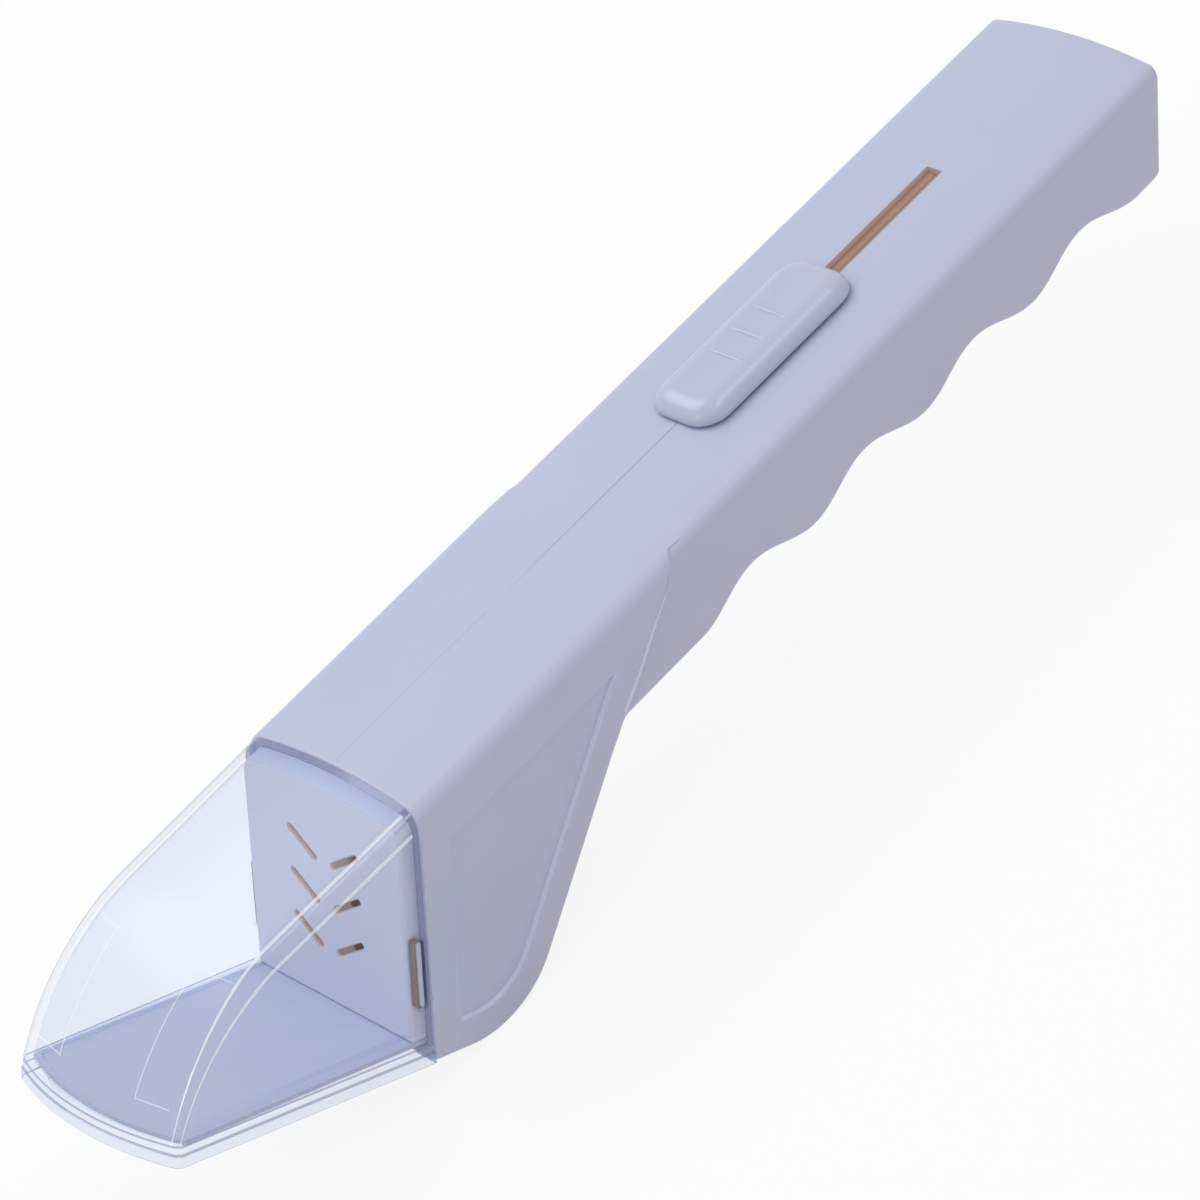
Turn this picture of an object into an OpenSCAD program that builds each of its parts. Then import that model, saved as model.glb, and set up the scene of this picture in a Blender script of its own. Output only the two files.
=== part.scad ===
// Handheld bug catcher: a clear hood on a moulded grip, closed from below by a sheet door
// that a thumb button pulls round the heel of the head. Sizes are real millimetres.
// It is drawn with the grip level and the top of the joint at zero, +X towards the nose,
// +Y to the user's left and +Z up, and is then set down on its heel.

/* [Grip] */
// From the top of the joint back to the tail face, along the grip
handle_len = 186.2; // [150:1:230]
// Width of the grip
handle_w = 38; // [30:0.5:46]
// From the shoulder line down to the grip line that the fingers close on
handle_h = 18.3; // [16:0.1:26]
// How far the top bulges above the shoulder line
crown_h = 2; // [0.5:0.1:4]
// Radius of the bulge across the top
crown_r = 120; // [80:1:300]
// Rounding of the grip's top edges
grip_edge_r = 2.4; // [1:0.1:4]
// Lean of the tail face from upright, in degrees
tail_lean = 20.9; // [0:0.1:30]
// Rounding of the tail's lower corner
tail_r = 3.4; // [1:0.1:6]
// Spacing of the finger grooves
groove_pitch = 28.3; // [22:0.1:32]
// Depth of a finger groove
groove_depth = 3.9; // [1:0.1:5]
// Number of finger grooves
grooves = 4; // [3:1:5]
// From the top of the joint back to the first groove's deepest line
groove_start = 74.4; // [66:0.1:90]
// Wall of the two shells
wall = 1.8; // [1.2:0.1:2.6]

/* [Head] */
// Width of the head
head_w = 41.2; // [34:0.1:50]
// Rounding of the head's top edges
head_edge_r = 3.6; // [2:0.1:6]
// Height of the joint between head and hood, measured along the joint
joint_len = 43.5; // [34:0.5:56]
// Lean of the joint from upright, in degrees
joint_lean = 22.6; // [10:0.1:32]
// Slope of the hood's rim against the grip, in degrees
floor_tilt = 27; // [15:0.5:35]
// Rounding of the heel
heel_r = 18.1; // [14:0.1:22]
// Slope of the head's rear edge, in degrees
rear_slope = 39.4; // [32:0.1:48]
// From the top of the joint back to the rear edge's upper end
rear_back = 60.5; // [54:0.5:70]
// Length of the ramp from grip width to head width
flare_len = 10.8; // [4:0.1:18]
// Margin round the sunk side panel
panel_margin = 5.9; // [4:0.1:9]
// From the shoulder line down to the side panel
panel_drop = 7.8; // [5:0.1:12]
// Depth of the sunk side panel
panel_depth = 0.6; // [0.2:0.1:1]

/* [Hood] */
// Length of the hood's rim along its middle
floor_len = 54; // [44:0.5:70]
// How far the nose bows forward
nose_bow = 3.7; // [1:0.1:6]
// Width of the hood at the joint
hood_w = 40.3; // [33:0.1:49]
// Width of the hood at the nose
nose_w = 38.2; // [32:0.1:48]
// Straight length of the hood's top
hood_top_len = 33; // [24:0.5:40]
// Turn of the bend where the front begins, in degrees
knee_turn = 8; // [4:1:16]
// Radius of the hood's front
front_r = 46; // [38:0.5:60]
// Wall of the clear hood
hood_wall = 1.5; // [1:0.1:2]
// Height of the band along the rim
rim_h = 3.7; // [2.9:0.1:6]
// How far the band stands out
rim_out = 0.6; // [0.2:0.1:1]
// Width of the ledge that carries the door
ledge_w = 1.4; // [0.8:0.1:2.4]

/* [Door] */
// Thickness of the sheet
sheet_t = 0.8; // [0.5:0.1:1]
// Height of the sheet's middle over the rim
sheet_lift = 3.4; // [3.2:0.1:4.5]
// Width of the door panel
door_w = 34.6; // [28:0.1:38]
// Width of the ribbon that pulls the door
ribbon_w = 14; // [8:0.5:16]
// Radius of the ribbon's upper bend
ribbon_bend_r = 20; // [14:0.5:30]

/* [Catches and vents] */
// From the top of the joint down to a catch window
window_drop = 20.8; // [10:0.1:26]
// Length of a catch window
window_len = 12.8; // [6:0.1:16]
// Width of a catch window
window_w = 2; // [1.4:0.1:3]
// Edge of clear plastic beside a catch window
window_gap = 0.6; // [0.4:0.1:1]
// Length of a vent slot
vent_len = 7.5; // [4:0.1:9]
// Width of a vent slot
vent_w = 1.1; // [0.6:0.1:1.6]
// Tilt of the vent slots, in degrees
vent_turn = 32; // [0:1:45]

/* [Thumb slide] */
// Length of the button
button_len = 38.5; // [28:0.5:46]
// Width of the button
button_w = 15.5; // [12:0.1:20]
// Height of the button over the crown
button_h = 2.9; // [2:0.1:4]
// From the top of the joint back to the button's front end
button_back = 83.4; // [78:0.1:90]
// Spacing of the bars under the thumb
bar_pitch = 5.6; // [4:0.1:8]
// Length of a bar
bar_len = 8.4; // [6:0.1:11]
// Length of the slot
slot_len = 64.9; // [60:0.5:70]
// Width of the slot
slot_w = 3.4; // [2.6:0.1:4]
// Travel of the slide
travel = 52; // [40:0.5:56]
// Length of the carriage
carriage_len = 24; // [18:0.5:28]
// Width of the carriage
carriage_w = 16; // [12:0.1:20]
// Thickness of the carriage
carriage_t = 3.2; // [2.4:0.1:3.6]
// Wall of the slide track
track_wall = 1.2; // [0.8:0.1:1.6]

/* [Fasteners] */
// Radius of a shell screw's thread
screw_r = 1.1; // [0.9:0.1:1.4]
// Radius of a shell screw's head
screw_head_r = 2.1; // [1.8:0.1:2.6]
// Radius of a screw boss
boss_r = 2.8; // [2.5:0.1:3.4]
// Radius of the small screws and rivets of the slide
pin_r = 0.8; // [0.6:0.1:1]

/* [Fits] */
// Gap between pieces that slide on each other
slide_gap = 0.3; // [0.2:0.05:0.5]
// Gap round pieces that are pushed in
fit_gap = 0.15; // [0.05:0.05:0.3]

/* [Hidden] */
$fn = 48;
cut_over = 1;                                   // overrun of every cut
side_reach = 2*head_w;                          // more than anything across
far_reach = handle_len + floor_len;             // more than anything along
heel_steps = 16;                                // flats round the heel
edge_steps = 6;                                 // flats round a moulded edge
crown_steps = 10;                               // flats across the crown
groove_steps = 16;                              // flats in one finger groove

// Directions in the side view, as [forward, up]
joint_down = [sin(joint_lean), -cos(joint_lean)];
joint_ahead = [cos(joint_lean), sin(joint_lean)];
floor_ahead = [cos(floor_tilt), sin(floor_tilt)];
floor_up = [-sin(floor_tilt), cos(floor_tilt)];
rear_in = [sin(rear_slope), cos(rear_slope)];
joint_foot = joint_len*joint_down;
rear_top = [-rear_back, 0];
ramp_back = -rear_back - flare_len/2;
ramp_over_share = 1/8;                          // how far the ramp's cut runs past the head's side

// Heel centre, one heel radius inside both the rim line and the rear edge
heel_from_rim = heel_r + floor_up*joint_foot;
heel_from_rear = heel_r + rear_in*rear_top;
heel_spread = -sin(floor_tilt + rear_slope);
heel_x = (heel_from_rim*rear_in[1] - heel_from_rear*floor_up[1])/heel_spread;
heel_z = (heel_from_rear*floor_up[0] - heel_from_rim*rear_in[0])/heel_spread;
heel_c = [heel_x, heel_z];

// Limits of the whole part
tail_x = -handle_len - crown_h*tan(tail_lean);
nose_x = joint_foot[0] + (floor_len + rim_out)*floor_ahead[0];
foot_z = heel_z - heel_r;

// Finger grooves that fit before the tail's corner
tail_foot_x = tail_end(tail_r - handle_h, tail_r);
groove_front = groove_pitch/2 - groove_start;
groove_count = min(grooves, floor((groove_front - tail_foot_x)/groove_pitch));

// Levels of the sheet over the rim, or inside the outline
sheet_foot = sheet_lift - sheet_t/2;
sheet_top = sheet_lift + sheet_t/2;
groove_foot = sheet_foot - fit_gap;
groove_top = sheet_top + slide_gap;
lip_top = groove_top + ledge_w*2/3;
guide_t = 2*sheet_t;
door_tuck = 5*sheet_t;                          // door inside the head when closed

// Levels of the slide under the grip's roof
grip_roof = -2/5*crown_h;
head_roof = -6/5*crown_h;
carriage_top = grip_roof - slide_gap;
carriage_foot = carriage_top - carriage_t;
tail_sheet_foot = carriage_foot - sheet_t;
tail_sheet_mid = carriage_foot - sheet_t/2;
clamp_t = 3/2*sheet_t;
clamp_foot = tail_sheet_foot - clamp_t;
track_top = clamp_foot - slide_gap;
track_foot = track_top - track_wall;
track_side = carriage_w/2 + slide_gap + track_wall;

// Places of the slide along the grip
slot_front = -button_back - slot_w/3;
stem_len = slot_len - travel - 2*slide_gap;
stem_front = slot_front - slide_gap;
stem_mid = stem_front - stem_len/2;
clamp_back = max(stem_front, stem_mid + 2*pin_r + slide_gap);
carriage_front = clamp_back + ribbon_w*2/3;
carriage_back = carriage_front - carriage_len;
carriage_mid = (carriage_front + carriage_back)/2;
carriage_mid_z = (carriage_top + carriage_foot)/2;
clamp_mid = carriage_front - ribbon_w/3;
track_front = carriage_front + 2*track_wall;
track_back = carriage_back - travel - 3*track_wall;
track_ears = [track_back + 4*pin_r, track_front - 4*pin_r];
ear_y = track_side + 2*pin_r;
button_mid = -button_back - button_len/2;
button_foot = crown_h + slide_gap;
button_r = button_w/3;
button_step = button_h/5;                       // step in the button's side
bar_w = bar_pitch/5;
spring_len = carriage_len/2;
spring_h = carriage_t*3/5;
spring_t = carriage_t/10;
spring_rise = 2*spring_t;

// Centre of the ribbon's upper bend
bend_z = tail_sheet_mid - ribbon_bend_r;
bend_x = -rear_back + (sheet_lift - ribbon_bend_r - bend_z*rear_in[1])/rear_in[0];
bend_c = [bend_x, bend_z];

// Wall at the back of the chamber and its catches, along the joint's own normal
back_wall_rear = -3/2*wall;
back_wall_front = window_w + 2*window_gap;
back_wall_w = min(head_w - 2*wall, hood_w - 2*hood_wall) - 2*fit_gap;
rib_t = wall;
catch_depth = 2*hood_wall;                      // how far a catch reaches in behind its window
vent_row_shares = [0.28, 0.46, 0.64];           // rows of vents down the joint
vent_side = vent_len*2/3;

// Plan of the hood
front_c = [hood_top_len - front_r*sin(knee_turn), -front_r*cos(knee_turn)];
bow_r = (nose_w*nose_w/4 + nose_bow*nose_bow)/(2*nose_bow);
nose_corner = floor_len - nose_bow;

// Screws of the shells: [x, z, half width of the shell there]
grip_boss_z = -handle_h + wall + 4/5*boss_r;
grip_boss_list = [
  for (i = [1, groove_count - 1, groove_count]) [groove_front - i*groove_pitch, grip_boss_z, handle_w/2]
];
head_boss_list = [
  [heel_x - heel_r/5, heel_z + heel_r/10, head_w/2],
  [-rear_back + 3/2*handle_h, -handle_h/2, head_w/2]
];
boss_list = concat(grip_boss_list, head_boss_list);
screw_sink = 2*screw_head_r;                    // depth of a screw head's seat

shell_colour = [0.745, 0.757, 0.863];
sheet_colour = [0.72, 0.737, 0.84];
tan_colour = [0.69, 0.52, 0.42];
steel_colour = [0.72, 0.73, 0.75];

// Lists of points
function ray(turn) = [cos(turn), sin(turn)];
function arc(c, r, from, to, steps) = [for (i = [0:steps]) c + r*ray(from + (to - from)*i/steps)];
function flip(points) = [for (i = [len(points) - 1:-1:0]) points[i]];

// Outlines in the side view
function floor_at(along, inset) = joint_foot + along*floor_ahead + inset*floor_up;
function floor_end(inset, ahead) =
  floor_at((ahead - inset*(floor_up*joint_ahead))/(floor_ahead*joint_ahead), inset);
function rear_end(inset, level) = [-rear_back + (inset - level*rear_in[1])/rear_in[0], level];
function joint_end(level, ahead) = [(ahead - level*joint_ahead[1])/joint_ahead[0], level];
function heel_arc(inset) = arc(heel_c, heel_r - inset, floor_tilt - 90, -90 - rear_slope, heel_steps);
function lane(inset, ahead, level) =
  concat([floor_end(inset, ahead)], heel_arc(inset), [rear_end(inset, level)]);
function head_side(inset, level, ahead) = concat(lane(inset, ahead, level), [joint_end(level, ahead)]);
function band(inner, outer, ahead, level) =
  concat(lane(inner, ahead, level), flip(lane(outer, ahead, level)));
function ribbon_line(inset) = concat(
  [floor_at(-door_tuck - slide_gap, inset)],
  heel_arc(inset),
  arc(bend_c, ribbon_bend_r + inset - sheet_lift, 90 - rear_slope, 90, edge_steps)
);
function grip_wave(x) = groove_depth*(1 + cos(360*(x + groove_start)/groove_pitch))/2;
function grip_x(i) = groove_front - groove_pitch*(groove_count - i/groove_steps);
function grip_line(inset) =
  [for (i = [0:groove_count*groove_steps]) [grip_x(i), -handle_h + inset + grip_wave(grip_x(i))]];
function tail_end(level, inset) = -handle_len + (inset - level*sin(tail_lean))/cos(tail_lean);
function tail_arc(inset) = arc(
  [tail_foot_x, tail_r - handle_h], tail_r - inset, 180 + tail_lean, 270, edge_steps
);
function grip_side(inset, level) = concat(
  [[tail_end(level, inset), level]], tail_arc(inset), grip_line(inset),
  [[heel_x, -handle_h + inset], [heel_x, level]]
);

// Crowned section across the part, as [across, up]
function edge_z(width, edge_r) =
  crown_h - crown_r + sqrt(pow(crown_r - edge_r, 2) - pow(width/2 - edge_r, 2));
function edge_turn(width, edge_r) = asin((width/2 - edge_r)/(crown_r - edge_r));
function section(width, edge_r, inset, depth) =
  let (turn = edge_turn(width, edge_r), half = width/2 - edge_r, z = edge_z(width, edge_r)) concat(
    [[width/2 - inset, -depth]],
    arc([half, z], edge_r - inset, 0, 90 - turn, edge_steps),
    arc([0, crown_h - crown_r], crown_r - inset, 90 - turn, 90 + turn, crown_steps),
    arc([-half, z], edge_r - inset, 90 + turn, 180, edge_steps),
    [[inset - width/2, -depth]]
  );
function turned(points, r) = [for (p = flip(points)) [p[1] + r, p[0]]];

// Outlines in plan, over the rim or over the grip, as [along, across]
function hood_half(along, inset) = hood_w/2 + (nose_w - hood_w)/2*along/nose_corner - inset;
function bow_turn(half, inset) = asin(half/(bow_r - inset));
function bow_arc(half, inset) =
  arc([floor_len - bow_r, 0], bow_r - inset, -bow_turn(half, inset), bow_turn(half, inset), crown_steps);
function hood_plan(inset, back) = concat(
  bow_arc(nose_w/2 - inset, inset), [[-back, hood_half(-back, inset)], [-back, -hood_half(-back, inset)]]
);
function lane_plan(half, inset, back) = concat(bow_arc(half, inset), [[-back, half], [-back, -half]]);
function round_plan(length, width, r) = concat(
  arc([length/2 - r, width/2 - r], r, 0, 90, edge_steps),
  arc([r - length/2, width/2 - r], r, 90, 180, edge_steps),
  arc([r - length/2, r - width/2], r, 180, 270, edge_steps),
  arc([length/2 - r, r - width/2], r, 270, 360, edge_steps)
);

// Helpers that place or cut
module placed() translate([-(tail_x + nose_x)/2, 0, -foot_z]) children();
module side_view(width) rotate([90, 0, 0]) linear_extrude(height = width, center = true) children();
module long_view(from, to) translate([from, 0, 0]) rotate([90, 0, 90]) linear_extrude(height = to - from)
  children();
module floor_frame() translate([joint_foot[0], 0, joint_foot[1]]) rotate([0, -floor_tilt, 0]) children();
module joint_frame() rotate([0, -joint_lean, 0]) children();
module floor_slab(from, to) floor_frame() translate([0, 0, from]) linear_extrude(height = to - from)
  children();
module joint_slab(from, to) joint_frame()
  translate([from, -side_reach/2, -far_reach]) cube([to - from, side_reach, 2*far_reach]);
module across(y, x, z, r, length) translate([x, y, z]) rotate([-90, 0, 0]) cylinder(r = r, h = length);
module upright(x, y, from, to, r) translate([x, y, from]) cylinder(r = r, h = to - from);

// Shells
module head_form() {
  past_x = ramp_back + (1 + ramp_over_share)*flare_len;
  past_half = head_w/2 + ramp_over_share*(head_w - handle_w)/2;
  intersection() {
    side_view(side_reach) polygon(head_side(0, crown_h + cut_over, 0));
    long_view(-far_reach, far_reach) polygon(section(head_w, head_edge_r, 0, 2*joint_len));
    translate([0, 0, -2*joint_len]) linear_extrude(height = 3*joint_len) polygon([
      [-far_reach, handle_w/2], [ramp_back, handle_w/2], [past_x, past_half], [past_x, side_reach/2],
      [far_reach, side_reach/2], [far_reach, -side_reach/2],
      [past_x, -side_reach/2], [past_x, -past_half], [ramp_back, -handle_w/2], [-far_reach, -handle_w/2]
    ]);
  }
}
module grip_form() intersection() {
  side_view(side_reach) polygon(grip_side(0, crown_h + cut_over));
  long_view(-far_reach, far_reach) polygon(section(handle_w, grip_edge_r, 0, 2*joint_len));
  joint_slab(-far_reach, 0);
}
module shell_hollow() {
  side_view(head_w - 2*wall) polygon(head_side(wall, head_roof, cut_over));
  difference() {
    side_view(handle_w - 2*wall) polygon(grip_side(wall, grip_roof));
    for (side = [-1, 1]) translate([ramp_back, side*(head_w/2 - wall + side_reach/2) - side_reach/2, -side_reach])
      cube([far_reach, side_reach, 2*side_reach]);
  }
}
module slot_cut() translate([slot_front - slot_len, -slot_w/2, -handle_h/3])
  cube([slot_len, slot_w, handle_h]);
module panel_cut() for (side = [-1, 1]) translate([0, side*head_w/2, 0])
  side_view(2*panel_depth) polygon(head_side(panel_margin, -panel_drop, -panel_margin));
module back_wall_ribs() intersection() {
  difference() {
    side_view(head_w - wall) polygon(head_side(groove_top + slide_gap, head_roof, 0));
    side_view(back_wall_w - 2*rib_t) polygon(head_side(0, head_roof + cut_over, cut_over));
  }
  joint_slab(back_wall_rear - fit_gap - rib_t, back_wall_rear - fit_gap);
}
module half_shell(side) intersection() {
  union() {
    difference() {
      union() {
        grip_form();
        head_form();
      }
      shell_hollow();
      slot_cut();
      panel_cut();
    }
    back_wall_ribs();
    for (b = boss_list) across(side > 0 ? 0 : -b[2] + wall/2, b[0], b[1], boss_r, b[2] - wall/2);
  }
  translate([-far_reach, side > 0 ? 0 : -side_reach, -side_reach]) cube([2*far_reach, side_reach, 2*side_reach]);
}
module left_shell() color(shell_colour) placed() difference() {
  half_shell(1);
  for (b = boss_list) across(-cut_over, b[0], b[1], screw_r + fit_gap/3, b[2] - wall + cut_over);
  for (x = track_ears) upright(x, ear_y, grip_roof - cut_over, crown_h/2 + grip_roof/2, pin_r + fit_gap/3);
}
module right_shell() color(shell_colour) placed() difference() {
  half_shell(-1);
  for (b = boss_list) across(-b[2], b[0], b[1], screw_r + fit_gap, b[2] + cut_over);
  for (b = boss_list) across(-b[2] - cut_over, b[0], b[1], screw_head_r + fit_gap, screw_sink + cut_over);
}
module shell_screws() color(steel_colour) placed() for (b = boss_list) difference() {
  union() {
    across(-b[2] + screw_sink, b[0], b[1], screw_r, 2*b[2] - 2*wall - screw_sink);
    across(-b[2] + screw_sink - screw_r, b[0], b[1], screw_head_r, screw_r);
  }
  translate([b[0], -b[2] + screw_sink - screw_r, b[1]]) for (turn = [0, 90]) rotate([0, turn, 0])
    cube([5/2*screw_r, screw_r, screw_r/3], center = true);
}

// Hood
module hood_front(inset) difference() {
  translate([front_c[0], -side_reach/2, -2*joint_len]) cube([far_reach, side_reach, 3*joint_len]);
  translate([front_c[0], 0, front_c[1]]) rotate([90, 0, 0]) rotate_extrude()
    polygon(turned(section(hood_w, head_edge_r, inset, front_r), front_r));
}
module hood_form(inset, back) difference() {
  intersection() {
    long_view(-joint_len/3, far_reach) polygon(section(hood_w, head_edge_r, inset, 2*joint_len));
    floor_slab(inset > 0 ? -cut_over : 0, 2*joint_len) polygon(hood_plan(inset, joint_len/2));
    joint_slab(back, far_reach);
  }
  hood_front(inset);
}
module window_box(gap, from, to) joint_frame()
  translate([window_gap + gap, from, gap - window_drop - window_len])
    cube([window_w - 2*gap, to - from, window_len - 2*gap]);
module clear_hood() color([0.84, 0.89, 0.95, 0.4]) placed() difference() {
  union() {
    hood_form(0, fit_gap);
    intersection() {
      floor_slab(0, rim_h) polygon(hood_plan(-rim_out, joint_len/4));
      joint_slab(fit_gap, far_reach);
    }
  }
  intersection() {
    hood_form(hood_wall, -cut_over);
    floor_slab(lip_top, 2*joint_len) polygon(hood_plan(0, joint_len/2));
  }
  intersection() {
    hood_form(hood_wall, -cut_over);
    floor_slab(groove_foot, lip_top + cut_over) polygon(lane_plan(door_w/2 - ledge_w/2, hood_wall, joint_len/2));
  }
  floor_slab(groove_foot, groove_top) polygon(lane_plan(door_w/2 + slide_gap, hood_wall, joint_len/2));
  floor_slab(-cut_over, groove_foot + cut_over/2)
    polygon(lane_plan(door_w/2 - ledge_w, hood_wall + ledge_w, joint_len/2));
  intersection() {
    hood_form(hood_wall, -cut_over);
    joint_slab(-cut_over, back_wall_front + fit_gap);
    floor_slab(groove_foot, 2*joint_len) polygon(hood_plan(0, joint_len/2));
  }
  window_box(0, -side_reach/2, side_reach/2);
}
module vent_cuts() joint_frame() for (side = [-1, 1], row_share = vent_row_shares)
  translate([0, side*vent_side, -row_share*joint_len]) rotate([side*vent_turn, 0, 0])
    cube([4*back_wall_front, vent_len, vent_w], center = true);
module catch_boxes(gap) {
  window_box(fit_gap - gap, hood_w/2 - hood_wall - catch_depth - gap, hood_w/2 - fit_gap);
  window_box(fit_gap - gap, -hood_w/2 + fit_gap, -hood_w/2 + hood_wall + catch_depth + gap);
}
module chamber_back_wall() color(shell_colour) placed() difference() {
  union() {
    intersection() {
      hood_form(hood_wall + fit_gap, fit_gap);
      joint_slab(fit_gap, back_wall_front);
      floor_slab(groove_top, 2*joint_len) polygon(hood_plan(0, joint_len/2));
    }
    intersection() {
      side_view(back_wall_w) polygon(head_side(groove_top, head_roof - fit_gap, cut_over));
      joint_slab(back_wall_rear, 2*fit_gap);
    }
  }
  vent_cuts();
  catch_boxes(fit_gap);
}
module hood_catches() color(tan_colour) placed() catch_boxes(0);

// Sheet door and ribbon
module trap_door() color(sheet_colour) placed() floor_slab(sheet_foot, sheet_top)
  polygon(lane_plan(door_w/2, hood_wall + slide_gap, door_tuck));
module ribbon_bend() color(sheet_colour) placed() side_view(ribbon_w)
  polygon(concat(ribbon_line(sheet_foot), flip(ribbon_line(sheet_top))));
module clamp_pins(r, from, to) for (side = [-1, 1]) upright(clamp_mid, side*ribbon_w/4, from, to, r);
module ribbon_tail() color(sheet_colour) placed() difference() {
  translate([clamp_back, -ribbon_w/2, tail_sheet_foot]) cube([bend_x - slide_gap - clamp_back, ribbon_w, sheet_t]);
  clamp_pins(pin_r + fit_gap/3, clamp_foot - cut_over, carriage_top + cut_over);
}
module heel_guide() color(tan_colour) placed() side_view(head_w - 2*wall - 2*fit_gap)
  polygon(band(groove_top, groove_top + guide_t, back_wall_rear - rib_t - 2*fit_gap, -handle_h/2));
module outer_guide() color(tan_colour) placed() side_view(head_w - 2*wall - 2*fit_gap)
  polygon(band(wall + fit_gap, groove_foot, -fit_gap, -handle_h));

// Thumb slide
module slide_track() color(tan_colour) placed() difference() {
  union() {
    translate([track_back, -track_side, track_foot])
      cube([track_front - track_back, 2*track_side, grip_roof - fit_gap - track_foot]);
    for (x = track_ears) translate([x - 2*pin_r, track_side - track_wall, grip_roof - fit_gap - track_wall])
      cube([4*pin_r, 4*pin_r + track_wall, track_wall]);
  }
  translate([track_back + track_wall, -carriage_w/2 - slide_gap, track_top])
    cube([far_reach, carriage_w + 2*slide_gap, handle_h]);
  for (x = track_ears) upright(x, ear_y, track_foot, grip_roof, pin_r + fit_gap);
  for (moved = [0, travel]) translate([carriage_mid - moved, 0, carriage_mid_z])
    cube([spring_len/2, carriage_w + 2*slide_gap + track_wall, spring_h*3/2], center = true);
}
module track_screws() color(steel_colour) placed() for (x = track_ears) {
  upright(x, ear_y, grip_roof - fit_gap - track_wall, crown_h/2 + grip_roof, pin_r);
  upright(x, ear_y, grip_roof - fit_gap - track_wall - pin_r, grip_roof - fit_gap - track_wall, 2*pin_r);
}
module slider_carriage() color([0.86, 0.87, 0.9]) placed() difference() {
  translate([carriage_back, -carriage_w/2, carriage_foot]) cube([carriage_len, carriage_w, carriage_t]);
  clamp_pins(pin_r + fit_gap/3, clamp_foot - cut_over, carriage_top + cut_over);
  upright(stem_mid, 0, carriage_foot - cut_over, carriage_top + cut_over, pin_r + fit_gap);
  translate([carriage_mid - spring_len/2 - fit_gap, carriage_w/2 - spring_rise - spring_t - fit_gap,
      carriage_mid_z - spring_h/2 - fit_gap])
    cube([spring_len + 2*fit_gap, carriage_w, spring_h + 2*fit_gap]);
}
module ribbon_clamp() color(steel_colour) placed() difference() {
  translate([clamp_mid - ribbon_w/3, -ribbon_w/2, clamp_foot]) cube([2/3*ribbon_w, ribbon_w, clamp_t]);
  clamp_pins(pin_r + fit_gap/3, clamp_foot - cut_over, carriage_top + cut_over);
}
module clamp_rivets() color([0.8, 0.78, 0.7]) placed() clamp_pins(pin_r, clamp_foot, carriage_top);
function spring_out(x) = spring_rise*(1 + cos(360*x/spring_len))/2;
module detent_spring() color(steel_colour) placed()
  translate([carriage_mid, carriage_w/2 - spring_rise - spring_t, carriage_mid_z - spring_h/2])
    linear_extrude(height = spring_h) polygon(concat(
      [for (i = [0:groove_steps]) let (x = spring_len*(i/groove_steps - 1/2)) [x, spring_out(x)]],
      [for (i = [groove_steps:-1:0]) let (x = spring_len*(i/groove_steps - 1/2)) [x, spring_out(x) + spring_t]]
    ));
module thumb_button() color([0.76, 0.78, 0.87]) placed() difference() {
  union() {
    translate([button_mid, 0, button_foot]) {
      linear_extrude(height = button_h*2/3) polygon(round_plan(button_len, button_w, button_r));
      linear_extrude(height = button_h)
        polygon(round_plan(button_len - 2*button_step, button_w - 2*button_step, button_r - button_step));
      for (i = [-1:1]) translate([i*bar_pitch, 0, button_h/2]) linear_extrude(height = button_h*2/3)
        polygon(round_plan(bar_w, bar_len, bar_w/3));
    }
    translate([stem_front - stem_len, slide_gap - slot_w/2, carriage_top])
      cube([stem_len, slot_w - 2*slide_gap, button_foot + button_h/4 - carriage_top]);
  }
  upright(stem_mid, 0, carriage_top - cut_over, crown_h + button_h/2, pin_r + fit_gap/3);
}
module button_screw() color(steel_colour) placed() {
  upright(stem_mid, 0, carriage_foot - pin_r/2, crown_h + button_h/3, pin_r);
  upright(stem_mid, 0, carriage_foot - pin_r, carriage_foot, 2*pin_r);
}

left_shell();
right_shell();
clear_hood();
chamber_back_wall();
hood_catches();
trap_door();
ribbon_bend();
ribbon_tail();
heel_guide();
outer_guide();
slide_track();
track_screws();
slider_carriage();
ribbon_clamp();
clamp_rivets();
detent_spring();
thumb_button();
button_screw();
shell_screws();
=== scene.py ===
# Handheld bug catcher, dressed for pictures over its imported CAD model.
# Lengths are millimetres, drawn with the grip level and the top of the joint at zero,
# and toRow carries them into the row frame in metres.
import math
import bmesh
import bpy
from mathutils import Matrix, Quaternion, Vector


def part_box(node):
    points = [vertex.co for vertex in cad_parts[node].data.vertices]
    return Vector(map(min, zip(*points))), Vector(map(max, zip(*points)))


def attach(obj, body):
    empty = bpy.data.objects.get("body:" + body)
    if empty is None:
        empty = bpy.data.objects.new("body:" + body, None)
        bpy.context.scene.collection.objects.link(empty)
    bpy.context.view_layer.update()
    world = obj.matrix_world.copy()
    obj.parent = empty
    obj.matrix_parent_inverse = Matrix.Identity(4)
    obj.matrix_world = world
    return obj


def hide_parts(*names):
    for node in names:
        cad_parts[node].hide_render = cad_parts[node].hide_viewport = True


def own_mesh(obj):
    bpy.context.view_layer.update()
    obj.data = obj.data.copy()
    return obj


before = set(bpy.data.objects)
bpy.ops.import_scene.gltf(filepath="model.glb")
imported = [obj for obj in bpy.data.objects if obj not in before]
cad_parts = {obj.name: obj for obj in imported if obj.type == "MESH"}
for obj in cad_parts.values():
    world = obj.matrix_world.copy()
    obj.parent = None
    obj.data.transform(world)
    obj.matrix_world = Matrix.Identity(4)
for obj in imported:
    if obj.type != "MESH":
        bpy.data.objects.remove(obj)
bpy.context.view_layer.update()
print("frame loaded")

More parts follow.
